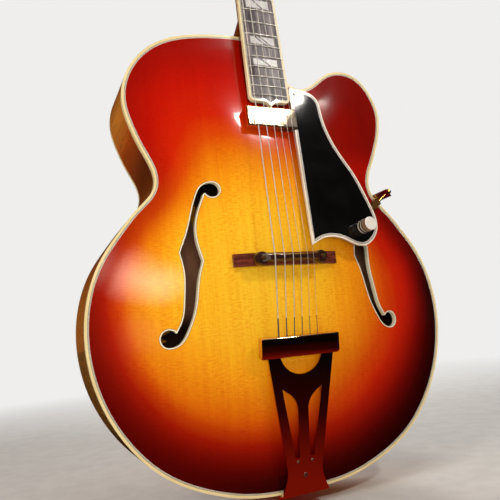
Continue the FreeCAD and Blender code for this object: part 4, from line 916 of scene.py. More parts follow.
@dataclass(frozen=True)
class Plastic(Finish):
    """Polished plastic with smudges and hair scratches."""

    colour: str = "0d0b0c"
    haze: str = "1b1718"
    roughness: float = 0.10
    clouds: tuple[float, float] = (0.35, 0.7)

    def wire(self, graph: Graph, shader: Shader) -> None:
        """Feeds the shader; see Finish.wire."""
        here = graph.here()
        cloud = graph.span(graph.noise(here, 30.0, 3.0), *self.clouds)
        skin = graph.group(Effect.HANDLING, {"Vector": here, "Roughness": self.roughness, "Spread": 0.12})
        graph.feed(shader, {
            "Base Color": graph.mix(cloud, linear(self.colour), linear(self.haze)),
            "Roughness": skin["Roughness"],
            "Normal": graph.bump(skin["Height"], 0.015 * MM, 0.3)})


@dataclass(frozen=True)
class Pearl(Finish):
    """Mother of pearl, cut from small flakes."""

    sheen: tuple[tuple[float, str], ...] = (
        (0.25, "bcc8c3"), (0.42, "e8e6e1"), (0.55, "d3cfd6"), (0.66, "edeae4"), (0.8, "cabdb9"))
    flake_scale: tuple[float, float, float] = (240.0, 240.0, 90.0)
    glint: Span = (0.3, 0.7, 0.82, 1.05)

    def wire(self, graph: Graph, shader: Shader) -> None:
        """Feeds the shader; see Finish.wire."""
        here = graph.here()
        warp = graph.noise(here, 90.0, 3.0, 1.2)
        flakes = graph.noise(graph.stretch(here, self.flake_scale), 1.0, 2.0, 1.5)
        glint = graph.span(flakes, *self.glint)
        graph.feed(shader, {
            "Base Color": graph.shade(graph.ramp(warp, self.sheen), glint),
            "Roughness": 0.16,
            "Coat Weight": 0.5,
            "Coat Roughness": 0.08,
            "Normal": graph.bump(warp, 0.05 * MM, 0.3)})


@dataclass(frozen=True)
class Bone(Finish):
    """Polished bone with faint pores."""

    pale: str = "efe5cc"
    aged: str = "dccba4"
    aging: tuple[float, float] = (0.3, 0.7)
    pore_scale: tuple[float, float, float] = (300.0, 1500.0, 1500.0)
    pore_tone: Span = (0.3, 0.45, 0.8, 1.0)

    def wire(self, graph: Graph, shader: Shader) -> None:
        """Feeds the shader; see Finish.wire."""
        here = graph.here()
        pores = graph.noise(graph.stretch(here, self.pore_scale), 1.0, 3.0)
        tint = graph.span(graph.noise(here, 60.0, 2.0), *self.aging)
        colour = graph.mix(tint, linear(self.pale), linear(self.aged))
        graph.feed(shader, {
            "Base Color": graph.shade(colour, graph.span(pores, *self.pore_tone)),
            "Roughness": 0.3,
            "Normal": graph.bump(pores, 0.03 * MM, 0.3)})


@dataclass(frozen=True)
class FloorPaint(Finish):
    """Pale studio floor that fades into the background far from the guitar."""

    colour: str = "e4e1dc"
    speckle: str = "dcd9d4"
    far_colour: str = "efeeec"
    # Painted reflection: in reflections the floor glows dark red near the guitar and fades to near black
    # further out.
    mirrored: tuple[tuple[float, str], ...] = ((0.10, "7a180d"), (0.30, "2c0605"), (0.55, "0b0707"))
    near: float = 0.7
    far: float = 2.2

    def wire(self, graph: Graph, shader: Shader) -> None:
        """Feeds the shader; see Finish.wire."""
        speck = graph.span(graph.noise(graph.here(), 40.0, 4.0), 0.3, 0.7)
        graph.feed(shader, {"Base Color": graph.mix(speck, linear(self.colour), linear(self.speckle)),
                            "Roughness": 0.6})

    def surface(self, graph: Graph, shader: Shader) -> Socket:
        """Makes the far floor as bright as the background, and shows a painted reflection in its place in
        reflections: dark red near the guitar, near black further out; see Finish.surface.
        """
        x, y, _ = graph.parts(graph.here())
        away = graph.hypot(x, y)
        light = graph.node("ShaderNodeEmission", {"Color": linear(self.far_colour), "Strength": 1.0})
        seen = graph.node("ShaderNodeMixShader", {
            "Fac": graph.span(away, self.near, self.far),
            "Shader": shader.outputs["BSDF"],
            "Shader_001": light.outputs[0]})
        painted_reflection = graph.node("ShaderNodeEmission", {"Color": graph.ramp(away, self.mirrored), "Strength": 1.0})
        both = graph.node("ShaderNodeMixShader", {
            "Fac": graph.node("ShaderNodeLightPath").outputs["Is Glossy Ray"],
            "Shader": seen.outputs[0],
            "Shader_001": painted_reflection.outputs[0]})
        return both.outputs[0]


@dataclass(frozen=True)
class GlowCard(Finish):
    """Light card of unit radius, brightest in the middle."""

    colour: str = "ffeed6"
    strength: float = 6.5

    def wire(self, graph: Graph, shader: Shader) -> None:
        """Feeds the shader; see Finish.wire."""
        graph.feed(shader, {"Base Color": linear(self.colour)})

    def surface(self, graph: Graph, shader: Shader) -> Socket:
        """Shows the card's light alone; see Finish.surface."""
        away = graph.node("ShaderNodeVectorMath", {"Vector": graph.here()}, operation="LENGTH")
        strength = graph.span(away.outputs["Value"], 1.0, 0.0, 0.0, self.strength)
        light = graph.node("ShaderNodeEmission", {"Color": linear(self.colour), "Strength": strength})
        return light.outputs[0]


class Shop:
    """Finishes by name, made once, and the ways to turn shapes into pieces."""

    tip_weld: ClassVar[float] = 2e-6
    seam_weld: ClassVar[float] = 1e-7
    skin: ClassVar[float] = 0.02 * MM
    crease: ClassVar[float] = math.radians(32)
    head_profile: ClassVar[Profile] = (
        (0, 0), (0.97, 0), (1.0, 0.06), (0.93, 0.18), (0.72, 0.28), (0.40, 0.35), (0, 0.38))
    slot_low: ClassVar[tuple[float, float, float]] = (-2, -0.14, 0.12)
    slot_high: ClassVar[tuple[float, float, float]] = (2, 0.14, 1.0)

    def __init__(self) -> None:
        """Makes the shared geometry trees and starts with no finish made."""
        self.materials: dict[str, bpy.types.Material] = {}
        self.tube_tree = self.swept_tube()
        self.copy_tree = self.copies_on_points()

    def finish(self, finish: Finish) -> bpy.types.Material:
        """The material of a finish."""
        if finish.name not in self.materials:
            self.materials[finish.name] = finish.make()
        return self.materials[finish.name]

    def dress(self, finish: Finish, *nodes: str) -> None:
        """Gives CAD nodes a finish.

        Args:
            finish: The finish.
            nodes: Names of the nodes.
        """
        for node in nodes:
            mesh = frame["nodes"][node].data
            mesh.materials.clear()
            mesh.materials.append(self.finish(finish))
            log.info("dressed %s in %s", node, finish.name)

    @staticmethod
    def tree(name: str, inputs: dict[str, str]) -> tuple[Graph, Shader, Shader]:
        """Opens a geometry tree with named inputs.

        Args:
            name: Name of the tree.
            inputs: Socket type of each input after the geometry.

        Returns:
            The graph, its input node and its output node.
        """
        tree = bpy.data.node_groups.new(name, "GeometryNodeTree")
        tree.interface.new_socket("Geometry", in_out="INPUT", socket_type="NodeSocketGeometry")
        for label, kind in inputs.items():
            tree.interface.new_socket(label, in_out="INPUT", socket_type="NodeSocket" + kind)
        tree.interface.new_socket("Geometry", in_out="OUTPUT", socket_type="NodeSocketGeometry")
        graph = Graph(tree)
        return graph, graph.node("NodeGroupInput"), graph.node("NodeGroupOutput")

    def swept_tube(self) -> bpy.types.NodeTree:
        """Tree that sweeps a round section along a curve, as wide as the curve's own radius."""
        g, given, last = self.tree("swept tube", {"Sides": "Int", "Material": "Material"})
        spline = g.node("GeometryNodeSplineParameter")
        run = {"Geometry": given.outputs["Geometry"], "Name": "run", "Value": spline.outputs["Length"]}
        store = g.node("GeometryNodeStoreNamedAttribute", run, domain="POINT")
        circle = {"Resolution": given.outputs["Sides"], "Radius": 1.0}
        ring = g.node("GeometryNodeCurvePrimitiveCircle", circle)
        width = g.node("GeometryNodeInputRadius")
        tube = g.node("GeometryNodeCurveToMesh", {
            "Curve": store.outputs[0],
            "Profile Curve": ring.outputs[0],
            "Scale": width.outputs[0],
            "Fill Caps": True})
        whole = g.node("GeometryNodeRealizeInstances", {"Geometry": tube.outputs[0]})
        smooth = g.node("GeometryNodeSetShadeSmooth", {"Geometry": whole.outputs[0]})
        return self.painted(g, given, last, smooth.outputs[0])

    def copies_on_points(self) -> bpy.types.NodeTree:
        """Tree that sets a copy of a pattern on each point, turned and sized by the point's own values."""
        g, given, last = self.tree("copies on points", {"Pattern": "Object", "Material": "Material"})
        turn = g.node("GeometryNodeInputNamedAttribute", {"Name": "turn"}, data_type="FLOAT_VECTOR")
        size = g.node("GeometryNodeInputNamedAttribute", {"Name": "size"}, data_type="FLOAT_VECTOR")
        euler = g.node("FunctionNodeEulerToRotation", {"Euler": turn.outputs[0]})
        pattern = g.node("GeometryNodeObjectInfo", {"Object": given.outputs["Pattern"]})
        copies = g.node("GeometryNodeInstanceOnPoints", {
            "Points": given.outputs["Geometry"],
            "Instance": pattern.outputs["Geometry"],
            "Rotation": euler.outputs[0],
            "Scale": size.outputs[0]})
        whole = g.node("GeometryNodeRealizeInstances", {"Geometry": copies.outputs[0]})
        return self.painted(g, given, last, whole.outputs[0])

    @staticmethod
    def painted(g: Graph, given: Shader, last: Shader, geometry: Socket) -> bpy.types.NodeTree:
        """Ends a geometry tree with the material that it is given.

        Args:
            g: The tree's graph.
            given: Its input node.
            last: Its output node.
            geometry: What is painted.

        Returns:
            The tree.
        """
        inputs = {"Geometry": geometry, "Material": given.outputs["Material"]}
        g.tree.links.new(g.node("GeometryNodeSetMaterial", inputs).outputs[0], last.inputs[0])
        return g.tree

    @staticmethod
    def mesh(name: str, shape: bmesh.types.BMesh) -> bpy.types.Mesh:
        """Keeps a shape as a mesh.

        Args:
            name: Name of the mesh.
            shape: The shape, freed afterwards.

        Returns:
            The mesh.
        """
        made = bpy.data.meshes.new(name)
        shape.to_mesh(made)
        shape.free()
        return made

    @staticmethod
    def link(name: str, data: bpy.types.ID) -> bpy.types.Object:
        """Puts data into the scene as an object at the origin.

        Args:
            name: Name of the object.
            data: A mesh, curve, light or camera.

        Returns:
            The object.
        """
        made = bpy.data.objects.new(name, data)
        bpy.context.scene.collection.objects.link(made)
        return made

    def settled(self, source: bpy.types.Object, name: str, tree: bpy.types.NodeTree,
                inputs: dict[str, object]) -> bpy.types.Object:
        """Runs a geometry tree on an object and keeps the result as a plain mesh.

        Args:
            source: Object that the tree works on, removed afterwards.
            name: Name of the finished piece.
            tree: The geometry tree.
            inputs: Value of each named input.

        Returns:
            The finished piece.
        """
        modifier = source.modifiers.new("make", "NODES")
        modifier.node_group = tree
        keys = {item.name: item.identifier for item in tree.interface.items_tree if item.in_out == "INPUT"}
        for label, value in inputs.items():
            modifier[keys[label]] = value
        view = bpy.context.evaluated_depsgraph_get()
        mesh = bpy.data.meshes.new_from_object(source.evaluated_get(view), depsgraph=view)
        bpy.data.objects.remove(source)
        mesh.name = name
        return self.link(name, mesh)

    def tube(self, name: str, points: Sequence[Vector], radii: Sequence[float], finish: Finish,
             sides: int = 12) -> bpy.types.Object:
        """Tube along points.

        Args:
            name: Name of the piece.
            points: The centre line.
            radii: Radius at each point.
            finish: Its finish.
            sides: Flats round the tube.

        Returns:
            The piece.
        """
        curve = bpy.data.curves.new(name + "_line", "CURVE")
        curve.dimensions = "3D"
        spline = curve.splines.new("POLY")
        spline.points.add(len(points) - 1)
        for spot, point, radius in zip(spline.points, points, radii):
            spot.co = (*point, 1.0)
            spot.radius = radius
        source = self.link(name + "_line", curve)
        return self.settled(source, name, self.tube_tree, {"Sides": sides, "Material": self.finish(finish)})

    def copies(self, name: str, pattern: bpy.types.Object, places: Sequence[Matrix], sizes: Sequence[float],
               finish: Finish) -> bpy.types.Object:
        """Copies of a pattern at several places.

        Args:
            name: Name of the piece.
            pattern: Object with the shape that is repeated.
            places: Frame of each copy.
            sizes: Scale of each copy.
            finish: Its finish.

        Returns:
            The piece.
        """
        mesh = bpy.data.meshes.new(name + "_points")
        mesh.from_pydata([place.translation for place in places], [], [])
        turn = mesh.attributes.new("turn", "FLOAT_VECTOR", "POINT")
        size = mesh.attributes.new("size", "FLOAT_VECTOR", "POINT")
        for index, (place, scale) in enumerate(zip(places, sizes)):
            turn.data[index].vector = place.to_euler()
            size.data[index].vector = (scale, scale, scale)
        source = self.link(name + "_points", mesh)
        inputs = {"Pattern": pattern, "Material": self.finish(finish)}
        return self.settled(source, name, self.copy_tree, inputs)

    def turned(self, name: str, profile: Profile, sides: int = 32) -> bpy.types.Object:
        """Closed shape turned about Z from radius and height pairs.

        Args:
            name: Name of the object.
            profile: Its corners.
            sides: Flats round the shape.

        Returns:
            The object.
        """
        shape = bmesh.new()
        spots = [shape.verts.new((radius, 0, height)) for radius, height in profile]
        edges = [shape.edges.new(pair) for pair in zip(spots, spots[1:])]
        bmesh.ops.spin(shape, geom=spots + edges, angle=math.tau, steps=sides, axis=(0, 0, 1), cent=(0, 0, 0))
        bmesh.ops.remove_doubles(shape, verts=shape.verts, dist=self.tip_weld)
        bmesh.ops.recalc_face_normals(shape, faces=shape.faces)
        return self.link(name, self.mesh(name, shape))

    def combined(self, name: str, first: bpy.types.Object, second: bpy.types.Object,
                 operation: str) -> bpy.types.Object:
        """Shape cut by another one.

        Args:
            name: Name of the result.
            first: Shape that is cut, removed afterwards.
            second: Shape that cuts, removed afterwards.
            operation: DIFFERENCE or INTERSECT.

        Returns:
            The result as a plain mesh object.
        """
        cut = first.modifiers.new("cut", "BOOLEAN")
        cut.object = second
        cut.operation = operation
        view = bpy.context.evaluated_depsgraph_get()
        mesh = bpy.data.meshes.new_from_object(first.evaluated_get(view), depsgraph=view)
        bpy.data.objects.remove(first)
        bpy.data.objects.remove(second)
        mesh.name = name
        return self.link(name, mesh)

    def block(self, name: str, low: Vector, high: Vector, rounding: float = 0.0) -> bpy.types.Object:
        """Block between two corners.

        Args:
            name: Name of the object.
            low: Its lowest corner.
            high: Its highest corner.
            rounding: Radius of its edges, or 0 for sharp ones.

        Returns:
            The object.
        """
        shape = bmesh.new()
        place = Matrix.Translation((high + low) / 2) @ Matrix.Diagonal((*(high - low), 1.0))
        bmesh.ops.create_cube(shape, size=1.0, matrix=place)
        if rounding:
            bmesh.ops.bevel(shape, geom=shape.edges, offset=rounding, segments=4, profile=0.5, affect="EDGES")
        return self.link(name, self.mesh(name, shape))

    def rounded(self, node: str, place: Matrix, rounding: float, finish: Finish) -> bpy.types.Object:
        """Copy of a box-shaped CAD node with its outer edges rounded off.

        Args:
            node: Name of the node, which the copy replaces.
            place: Frame that the box is square to.
            rounding: Radius of the edges.
            finish: Its finish.

        Returns:
            The piece.
        """
        shape = bmesh.new()
        shape.from_mesh(frame["nodes"][node].data)
        bmesh.ops.remove_doubles(shape, verts=shape.verts, dist=self.seam_weld)
        mesh = self.mesh(node, shape)
        back = place.inverted()
        spots = [back @ vertex.co for vertex in mesh.vertices]
        skin = Vector((1, 1, 1)) * self.skin
        low = Vector([min(spot[i] for spot in spots) for i in range(3)]) + skin
        high = Vector([max(spot[i] for spot in spots) for i in range(3)]) - skin
        form = self.block("form", low, high, rounding)
        form.data.transform(place)
        piece = self.combined(node + "_rounded", self.link(node, mesh), form, "INTERSECT")
        piece.data.materials.clear()
        piece.data.materials.append(self.finish(finish))
        piece.data.shade_smooth()
        piece.data.set_sharp_from_angle(angle=self.crease)
        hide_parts(node)
        return piece

    def slotted_head(self) -> bpy.types.Object:
        """Screw head of unit radius with a domed top and a cut slot, its underside at height 0."""
        head = self.turned("head", self.head_profile)
        slot = self.block("slot", Vector(self.slot_low), Vector(self.slot_high))
        return self.combined("screw_head", head, slot, "DIFFERENCE")


def seat(piece: bpy.types.Object, body: str) -> bpy.types.Object:
    """Lets a new piece ride on a body.

    Args:
        piece: The piece.
        body: Name of the body.

    Returns:
        The piece.
    """
    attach(piece, body)
    log.info("made %s on %s", piece.name, body)
    return piece


GOLD = PlatedMetal("gold plating")
SOFT_GOLD = PlatedMetal("rubbed gold plating", "e9c48c", "c7a377", 0.26, 60.0, 0.6)
NICKEL = PlatedMetal("nickel silver", "cfc9c2", "a59e94", 0.36, 160.0, 0.4)
STEEL = PlatedMetal("dull steel", "bdb8b0", "8d867c", 0.34, 120.0, 0.5)
# The board's ebony is lightened to grey: painted sheen over its near-black colour.
EBONY_WITH_SHEEN = DarkWood("ebony", "82777a", "382f31", Run.ALONG, 0.40)


@dataclass
class Measure:
    """Values that the finishes read from the meshes."""

    reach: float = 1.0 * MM
    glue_line: float = 0.1 * MM

    @staticmethod
    def surface(*nodes: str) -> BVHTree:
        """Makes a search tree over the faces of CAD nodes.

        Args:
            nodes: Names of the nodes.

        Returns:
            The tree.
        """
        points: list[Vector] = []
        faces: list[tuple[int, ...]] = []
        for node in nodes:
            mesh = frame["nodes"][node].data
            start = len(points)
            points += [vertex.co.copy() for vertex in mesh.vertices]
            faces += [tuple(start + i for i in face.vertices) for face in mesh.polygons]
        return BVHTree.FromPolygons(points, faces)

    def distance(self, name: str, node: str, *others: str) -> None:
        """Stores how far each point of a node lies from other nodes.

        Args:
            name: Name of the stored value.
            node: The node that gets it.
            others: The nodes that it is measured from.
        """
        mesh = frame["nodes"][node].data
        near = self.surface(*others)
        store = mesh.attributes.new(name, "FLOAT", "POINT")
        gaps = [near.find_nearest(vertex.co)[3] - self.glue_line for vertex in mesh.vertices]
        store.data.foreach_set("value", [max(0.0, gap) for gap in gaps])

    def inside(self, node: str) -> None:
        """Stores which faces of a plate or rim look into the body.

        Args:
            node: The plate or rim.
        """
        mesh = frame["nodes"][node].data
        plates = self.surface("top_plate", "back_plate")
        values = []
        for face in mesh.polygons:
            spot = face.center + face.normal * self.reach
            front = plates.ray_cast(spot, Vector((0, -1, 0)))[0] is not None
            rear = plates.ray_cast(spot, Vector((0, 1, 0)))[0] is not None
            values += [1.0 if front and rear else 0.0] * face.loop_total
        store = mesh.attributes.new("inside", "FLOAT", "CORNER")
        store.data.foreach_set("value", values)


@dataclass
class Body:
    """The hollow body: carved plates, rims, bindings and what is glued inside."""

    spruce: Finish = BurstLacquer("sunburst spruce")
    back: Finish = BurstLacquer("sunburst maple", Figure.MAPLE)
    rims: Finish = RimLacquer("stained curly maple")
    raw: Finish = RawWood("bare spruce")
    binding: Finish = PlyBinding("body binding", 0.42 * MM, 4.0)
    back_binding: Finish = PlyBinding("back binding", 0.42 * MM, 2.0)
    f_binding: Finish = PlyBinding("sound hole binding", 0.30 * MM, 2.0, "1a120c", "f4edd6", "f3ead0")

    def build(self, shop: Shop) -> None:
        """Measures and dresses the body.

        Args:
            shop: The shop that makes the finishes.
        """
        measure = Measure()
        measure.distance("edge", "top_plate", "top_binding")
        measure.distance("edge", "back_plate", "back_binding")
        measure.distance("ply", "top_binding", "top_plate")
        measure.distance("ply", "back_binding", "back_plate")
        measure.distance("ply", "f_hole_bindings", "top_plate")
        for node in ("top_plate", "back_plate", "bass_rim", "treble_rim", "cutaway_rim", "end_graft"):
            measure.inside(node)
        shop.dress(self.spruce, "top_plate")
        shop.dress(self.back, "back_plate")
        shop.dress(self.rims, "bass_rim", "treble_rim", "cutaway_rim", "end_graft")
        shop.dress(self.raw, "linings", "neck_block", "end_block", "tone_bars")
        shop.dress(self.binding, "top_binding")
        shop.dress(self.back_binding, "back_binding")
        shop.dress(self.f_binding, "f_hole_bindings")


@dataclass
class Neck:
    """Neck, fingerboard, headstock face and their inlays."""

    wood: Finish = NeckLacquer("stained neck maple")
    board: Finish = EBONY_WITH_SHEEN
    face: Finish = DarkWood("polished ebony veneer", "1c1615", "0b0808", Run.ALONG, 0.12, 0.8)
    binding: Finish = PlyBinding("fingerboard binding", 0.5 * MM, 3.0, "f6eedc", "1d1510", "f1e2b8")
    cap: Finish = PlyBinding("heel cap", 0.45 * MM, 0.0)
    cover: Finish = Plastic("black cover")
    dot_finish: Finish = Plastic("side dots", "15100f", "241d1b", 0.3)
    dot_frets: tuple[int, ...] = (3, 5, 7, 9, 12, 12, 15, 17)
    double_fret: int = 12
    dot_profile: Profile = ((0, -0.3), (1.0, -0.3), (1.0, 0.03), (0.85, 0.06), (0, 0.07))
    dot_sides: int = 20
    dot_radius: float = 1.1 * MM
    dot_spread: float = 3.5 * MM
    dot_drop: float = 3.6 * MM
    nut_half: float = 21.45 * MM
    end_half: float = 27.5 * MM
    board_length: float = 452.0 * MM
    cover_screws: tuple[tuple[float, float], ...] = (
        (0.0, 46.5 * MM), (-11.0 * MM, 9.5 * MM), (11.0 * MM, 9.5 * MM))
    slot_turn: float = 40.0
    cover_screw_radius: float = 1.9 * MM
    cover_top: float = 3.4 * MM

    def edge(self, down: float) -> float:
        """Half width of the board at a distance from the nut."""
        return self.nut_half + (self.end_half - self.nut_half) * down / self.board_length

    def dots(self, shop: Shop) -> bpy.types.Object:
        """Sets position dots in the bass side of the board's binding.

        Args:
            shop: The shop that makes the piece.

        Returns:
            The piece.
        """
        pattern = shop.turned("side_dot", self.dot_profile, self.dot_sides)
        places = []
        lean = math.atan2(self.end_half - self.nut_half, self.board_length)
        for index, fret in enumerate(self.dot_frets):
            down = (PLAN.fret(fret) + PLAN.fret(fret - 1)) / 2
            if fret == self.double_fret:
                down += self.dot_spread * (1 if self.dot_frets.index(fret) == index else -1)
            spot = Matrix.Translation((-self.edge(down), PLAN.nut_line - down, -self.dot_drop))
            outwards = Matrix.Rotation(-math.pi / 2, 4, "Y")
            places.append(PLAN.neck @ spot @ Matrix.Rotation(-lean, 4, "Z") @ outwards)
        piece = shop.copies("side_dots", pattern, places, [self.dot_radius] * len(places), self.dot_finish)
        bpy.data.objects.remove(pattern)
        return seat(piece, "guitar")

    def screws(self, shop: Shop) -> bpy.types.Object:
        """Sets the small screws that hold the cover on the headstock.

        Args:
            shop: The shop that makes the piece.

        Returns:
            The piece.
        """
        head = shop.slotted_head()
        places = []
        for across, along in self.cover_screws:
            spot = PLAN.head @ Matrix.Translation((across, along, self.cover_top))
            places.append(spot @ Matrix.Rotation(self.slot_turn * along, 4, "Z"))
        piece = shop.copies("cover_screws", head, places, [self.cover_screw_radius] * len(places), SOFT_GOLD)
        bpy.data.objects.remove(head)
        return seat(piece, "guitar")

    def build(self, shop: Shop) -> None:
        """Measures and dresses the neck and sets its dots and screws.

        Args:
            shop: The shop that makes the finishes.
        """
        measure = Measure()
        measure.distance("ply", "fingerboard_binding", "fingerboard")
        measure.distance("ply", "heel_cap", "neck")
        shop.dress(self.wood, "neck")
        shop.dress(self.board, "fingerboard")
        shop.dress(self.face, "headstock_veneer")
        shop.dress(self.binding, "fingerboard_binding")
        shop.dress(self.cap, "heel_cap")
        shop.dress(self.cover, "truss_rod_cover")
        shop.dress(NICKEL, "frets")
        shop.dress(Pearl("mother of pearl"), "inlays")
        shop.dress(Bone("bone"), "nut")
        shop.dress(STEEL, "truss_rod")
        self.dots(shop)
        self.screws(shop)


@dataclass
class Bridge:
    """Two-piece bridge on threaded studs."""

    base: Finish = DarkWood("bridge rosewood", "7e3827", "461a13", Run.ACROSS, 0.24, 0.4)
    saddle: Finish = DarkWood("bridge ebony", "3b1d17", "1b0c09", Run.ACROSS, 0.26, 0.3)
    wheels: Finish = PlatedMetal("aged brass wheels", "d9b46c", "8d6c3f", 0.34, 140.0, 0.6)
    studs: Finish = Threaded("threaded studs", "c9a56c", "7d6242", 0.28, 160.0, 0.6)

    def build(self, shop: Shop) -> None:
        """Dresses the bridge.

        Args:
            shop: The shop that makes the finishes.
        """
        shop.dress(self.base, "bridge_base")
        shop.dress(self.saddle, "bridge_saddle")
        shop.dress(self.wheels, "bass_thumbwheel", "treble_thumbwheel")
        shop.dress(self.studs, "bridge_studs")


@dataclass
class Tailpiece:
    """Trapeze tailpiece, its screws and the end pin jack."""

    plate: Finish = PlatedMetal("tailpiece plating", "e2b98c", "c08c62", 0.07, 70.0, 0.12)
    rounding: float = 1.6 * MM
    foot_face: float = -3.0 * MM
    foot_screws: tuple[float, float] = (11.0 * MM, 57.0 * MM)
    pins: tuple[float, float] = (9.0 * MM, 34.8 * MM)
    pin_profile: Profile = ((0, 0), (1.0, 0), (0.96, 0.3), (0.75, 0.52), (0.4, 0.66), (0, 0.7))
    pin_sides: int = 24
    pin_radius: float = 1.7 * MM
    screw_radius: float = 3.0 * MM
    screw_up: float = 19.2 * MM
    guard_screw: tuple[float, float, float] = (37.0 * MM, -77.5 * MM, -4.0 * MM)
    guard_screw_radius: float = 2.6 * MM
    guard_slot_turn: float = 1.1
    foot_slot_turn: float = 0.4

    def fasteners(self, shop: Shop) -> None:
        """Sets the slotted screws of the tailpiece and the guard, and the tailpiece's round pins.

        Args:
            shop: The shop that makes the pieces.
        """
        spots = [PLAN.tail @ Matrix.Translation((0, self.screw_up, 0))]
        guard = PLAN.neck @ Matrix.Translation(self.guard_screw)
        guard = guard @ Matrix.Rotation(self.guard_slot_turn, 4, "Z")
        pins = []
        for side in (-1, 1):
            across, drop = self.foot_screws
            foot = PLAN.bench @ Matrix.Translation((side * across, self.foot_face, -drop))
            outwards = foot @ Matrix.Rotation(math.pi / 2, 4, "X")
            spots.append(outwards @ Matrix.Rotation(self.foot_slot_turn + side, 4, "Z"))
            pins.append(PLAN.tail @ Matrix.Translation((side * self.pins[0], self.pins[1], 0)))
        head = shop.slotted_head()
        dome = shop.turned("dome", self.pin_profile, self.pin_sides)
        made = [shop.copies("tailpiece_screws", head, spots, [self.screw_radius] * len(spots), STEEL),
                shop.copies("guard_screw", head, [guard], [self.guard_screw_radius], STEEL),
                shop.copies("tailpiece_pins", dome, pins, [self.pin_radius] * len(pins), NICKEL)]
        for piece in made:
            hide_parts("screws")
            seat(piece, "guitar")
        for pattern in (head, dome):
            bpy.data.objects.remove(pattern)

    def build(self, shop: Shop) -> None:
        """Dresses the tailpiece and sets its fasteners.

        Args:
            shop: The shop that makes the finishes.
        """
        seat(shop.rounded("tailpiece_crossbar", PLAN.tail, self.rounding, self.plate), "guitar")
        shop.dress(self.plate, "tailpiece_plate")
        shop.dress(GOLD, "end_pin_jack")
        self.fasteners(shop)


@dataclass
class Electrics:
    """Floating pickup, guard with its stay, and the volume control."""

    cover: Finish = GreyEndMetal("pickup plating", "e9d2ae", "cfa878", 0.15, 50.0, 0.5)
    guard: Finish = Plastic("black guard", "070606", "0e0c0d", 0.07)
    guard_edge: Finish = PlyBinding("guard binding", 0.55 * MM, 5.0, "efe6da", "17110d", "f1e6d6")
    coil: Finish = Plastic("black bobbin", "12100f", "1d1918", 0.35)
    block: Finish = DarkWood("guard block", "8a5a35", "5f3a20", Run.ALONG, 0.5)
    knob: Finish = RingedMetal("knob plating")
    stay: Finish = PlatedMetal("stay plating", "d39a52", "8a5c30", 0.2, 90.0, 0.7)
    rounding: float = 1.2 * MM

    def build(self, shop: Shop) -> None:
        """Measures and dresses the pickup, the guard and the control.

        Args:
            shop: The shop that makes the finishes.
        """
        Measure().distance("ply", "pickguard_binding", "pickguard")
        seat(shop.rounded("pickup_cover", PLAN.neck, self.rounding, self.cover), "guitar")
        shop.dress(self.coil, "pickup_coils")
        shop.dress(SOFT_GOLD, "pickup_bracket")
        shop.dress(self.stay, "pickguard_stay")
        shop.dress(self.guard, "pickguard")
        shop.dress(self.guard_edge, "pickguard_binding")
        shop.dress(self.block, "pickguard_block")
        shop.dress(self.knob, "volume_knob")
        shop.dress(STEEL, "volume_pot")


@dataclass
class Tuners:
    """Six geared tuning machines."""

    count: int = 6

    def build(self, shop: Shop) -> None:
        """Dresses the machines.

        Args:
            shop: The shop that makes the finishes.
        """
        shop.dress(GOLD, "tuner_housings")
        for number in range(1, self.count + 1):
            shop.dress(GOLD, "tuner_key_%d" % number, "tuner_post_%d" % number)


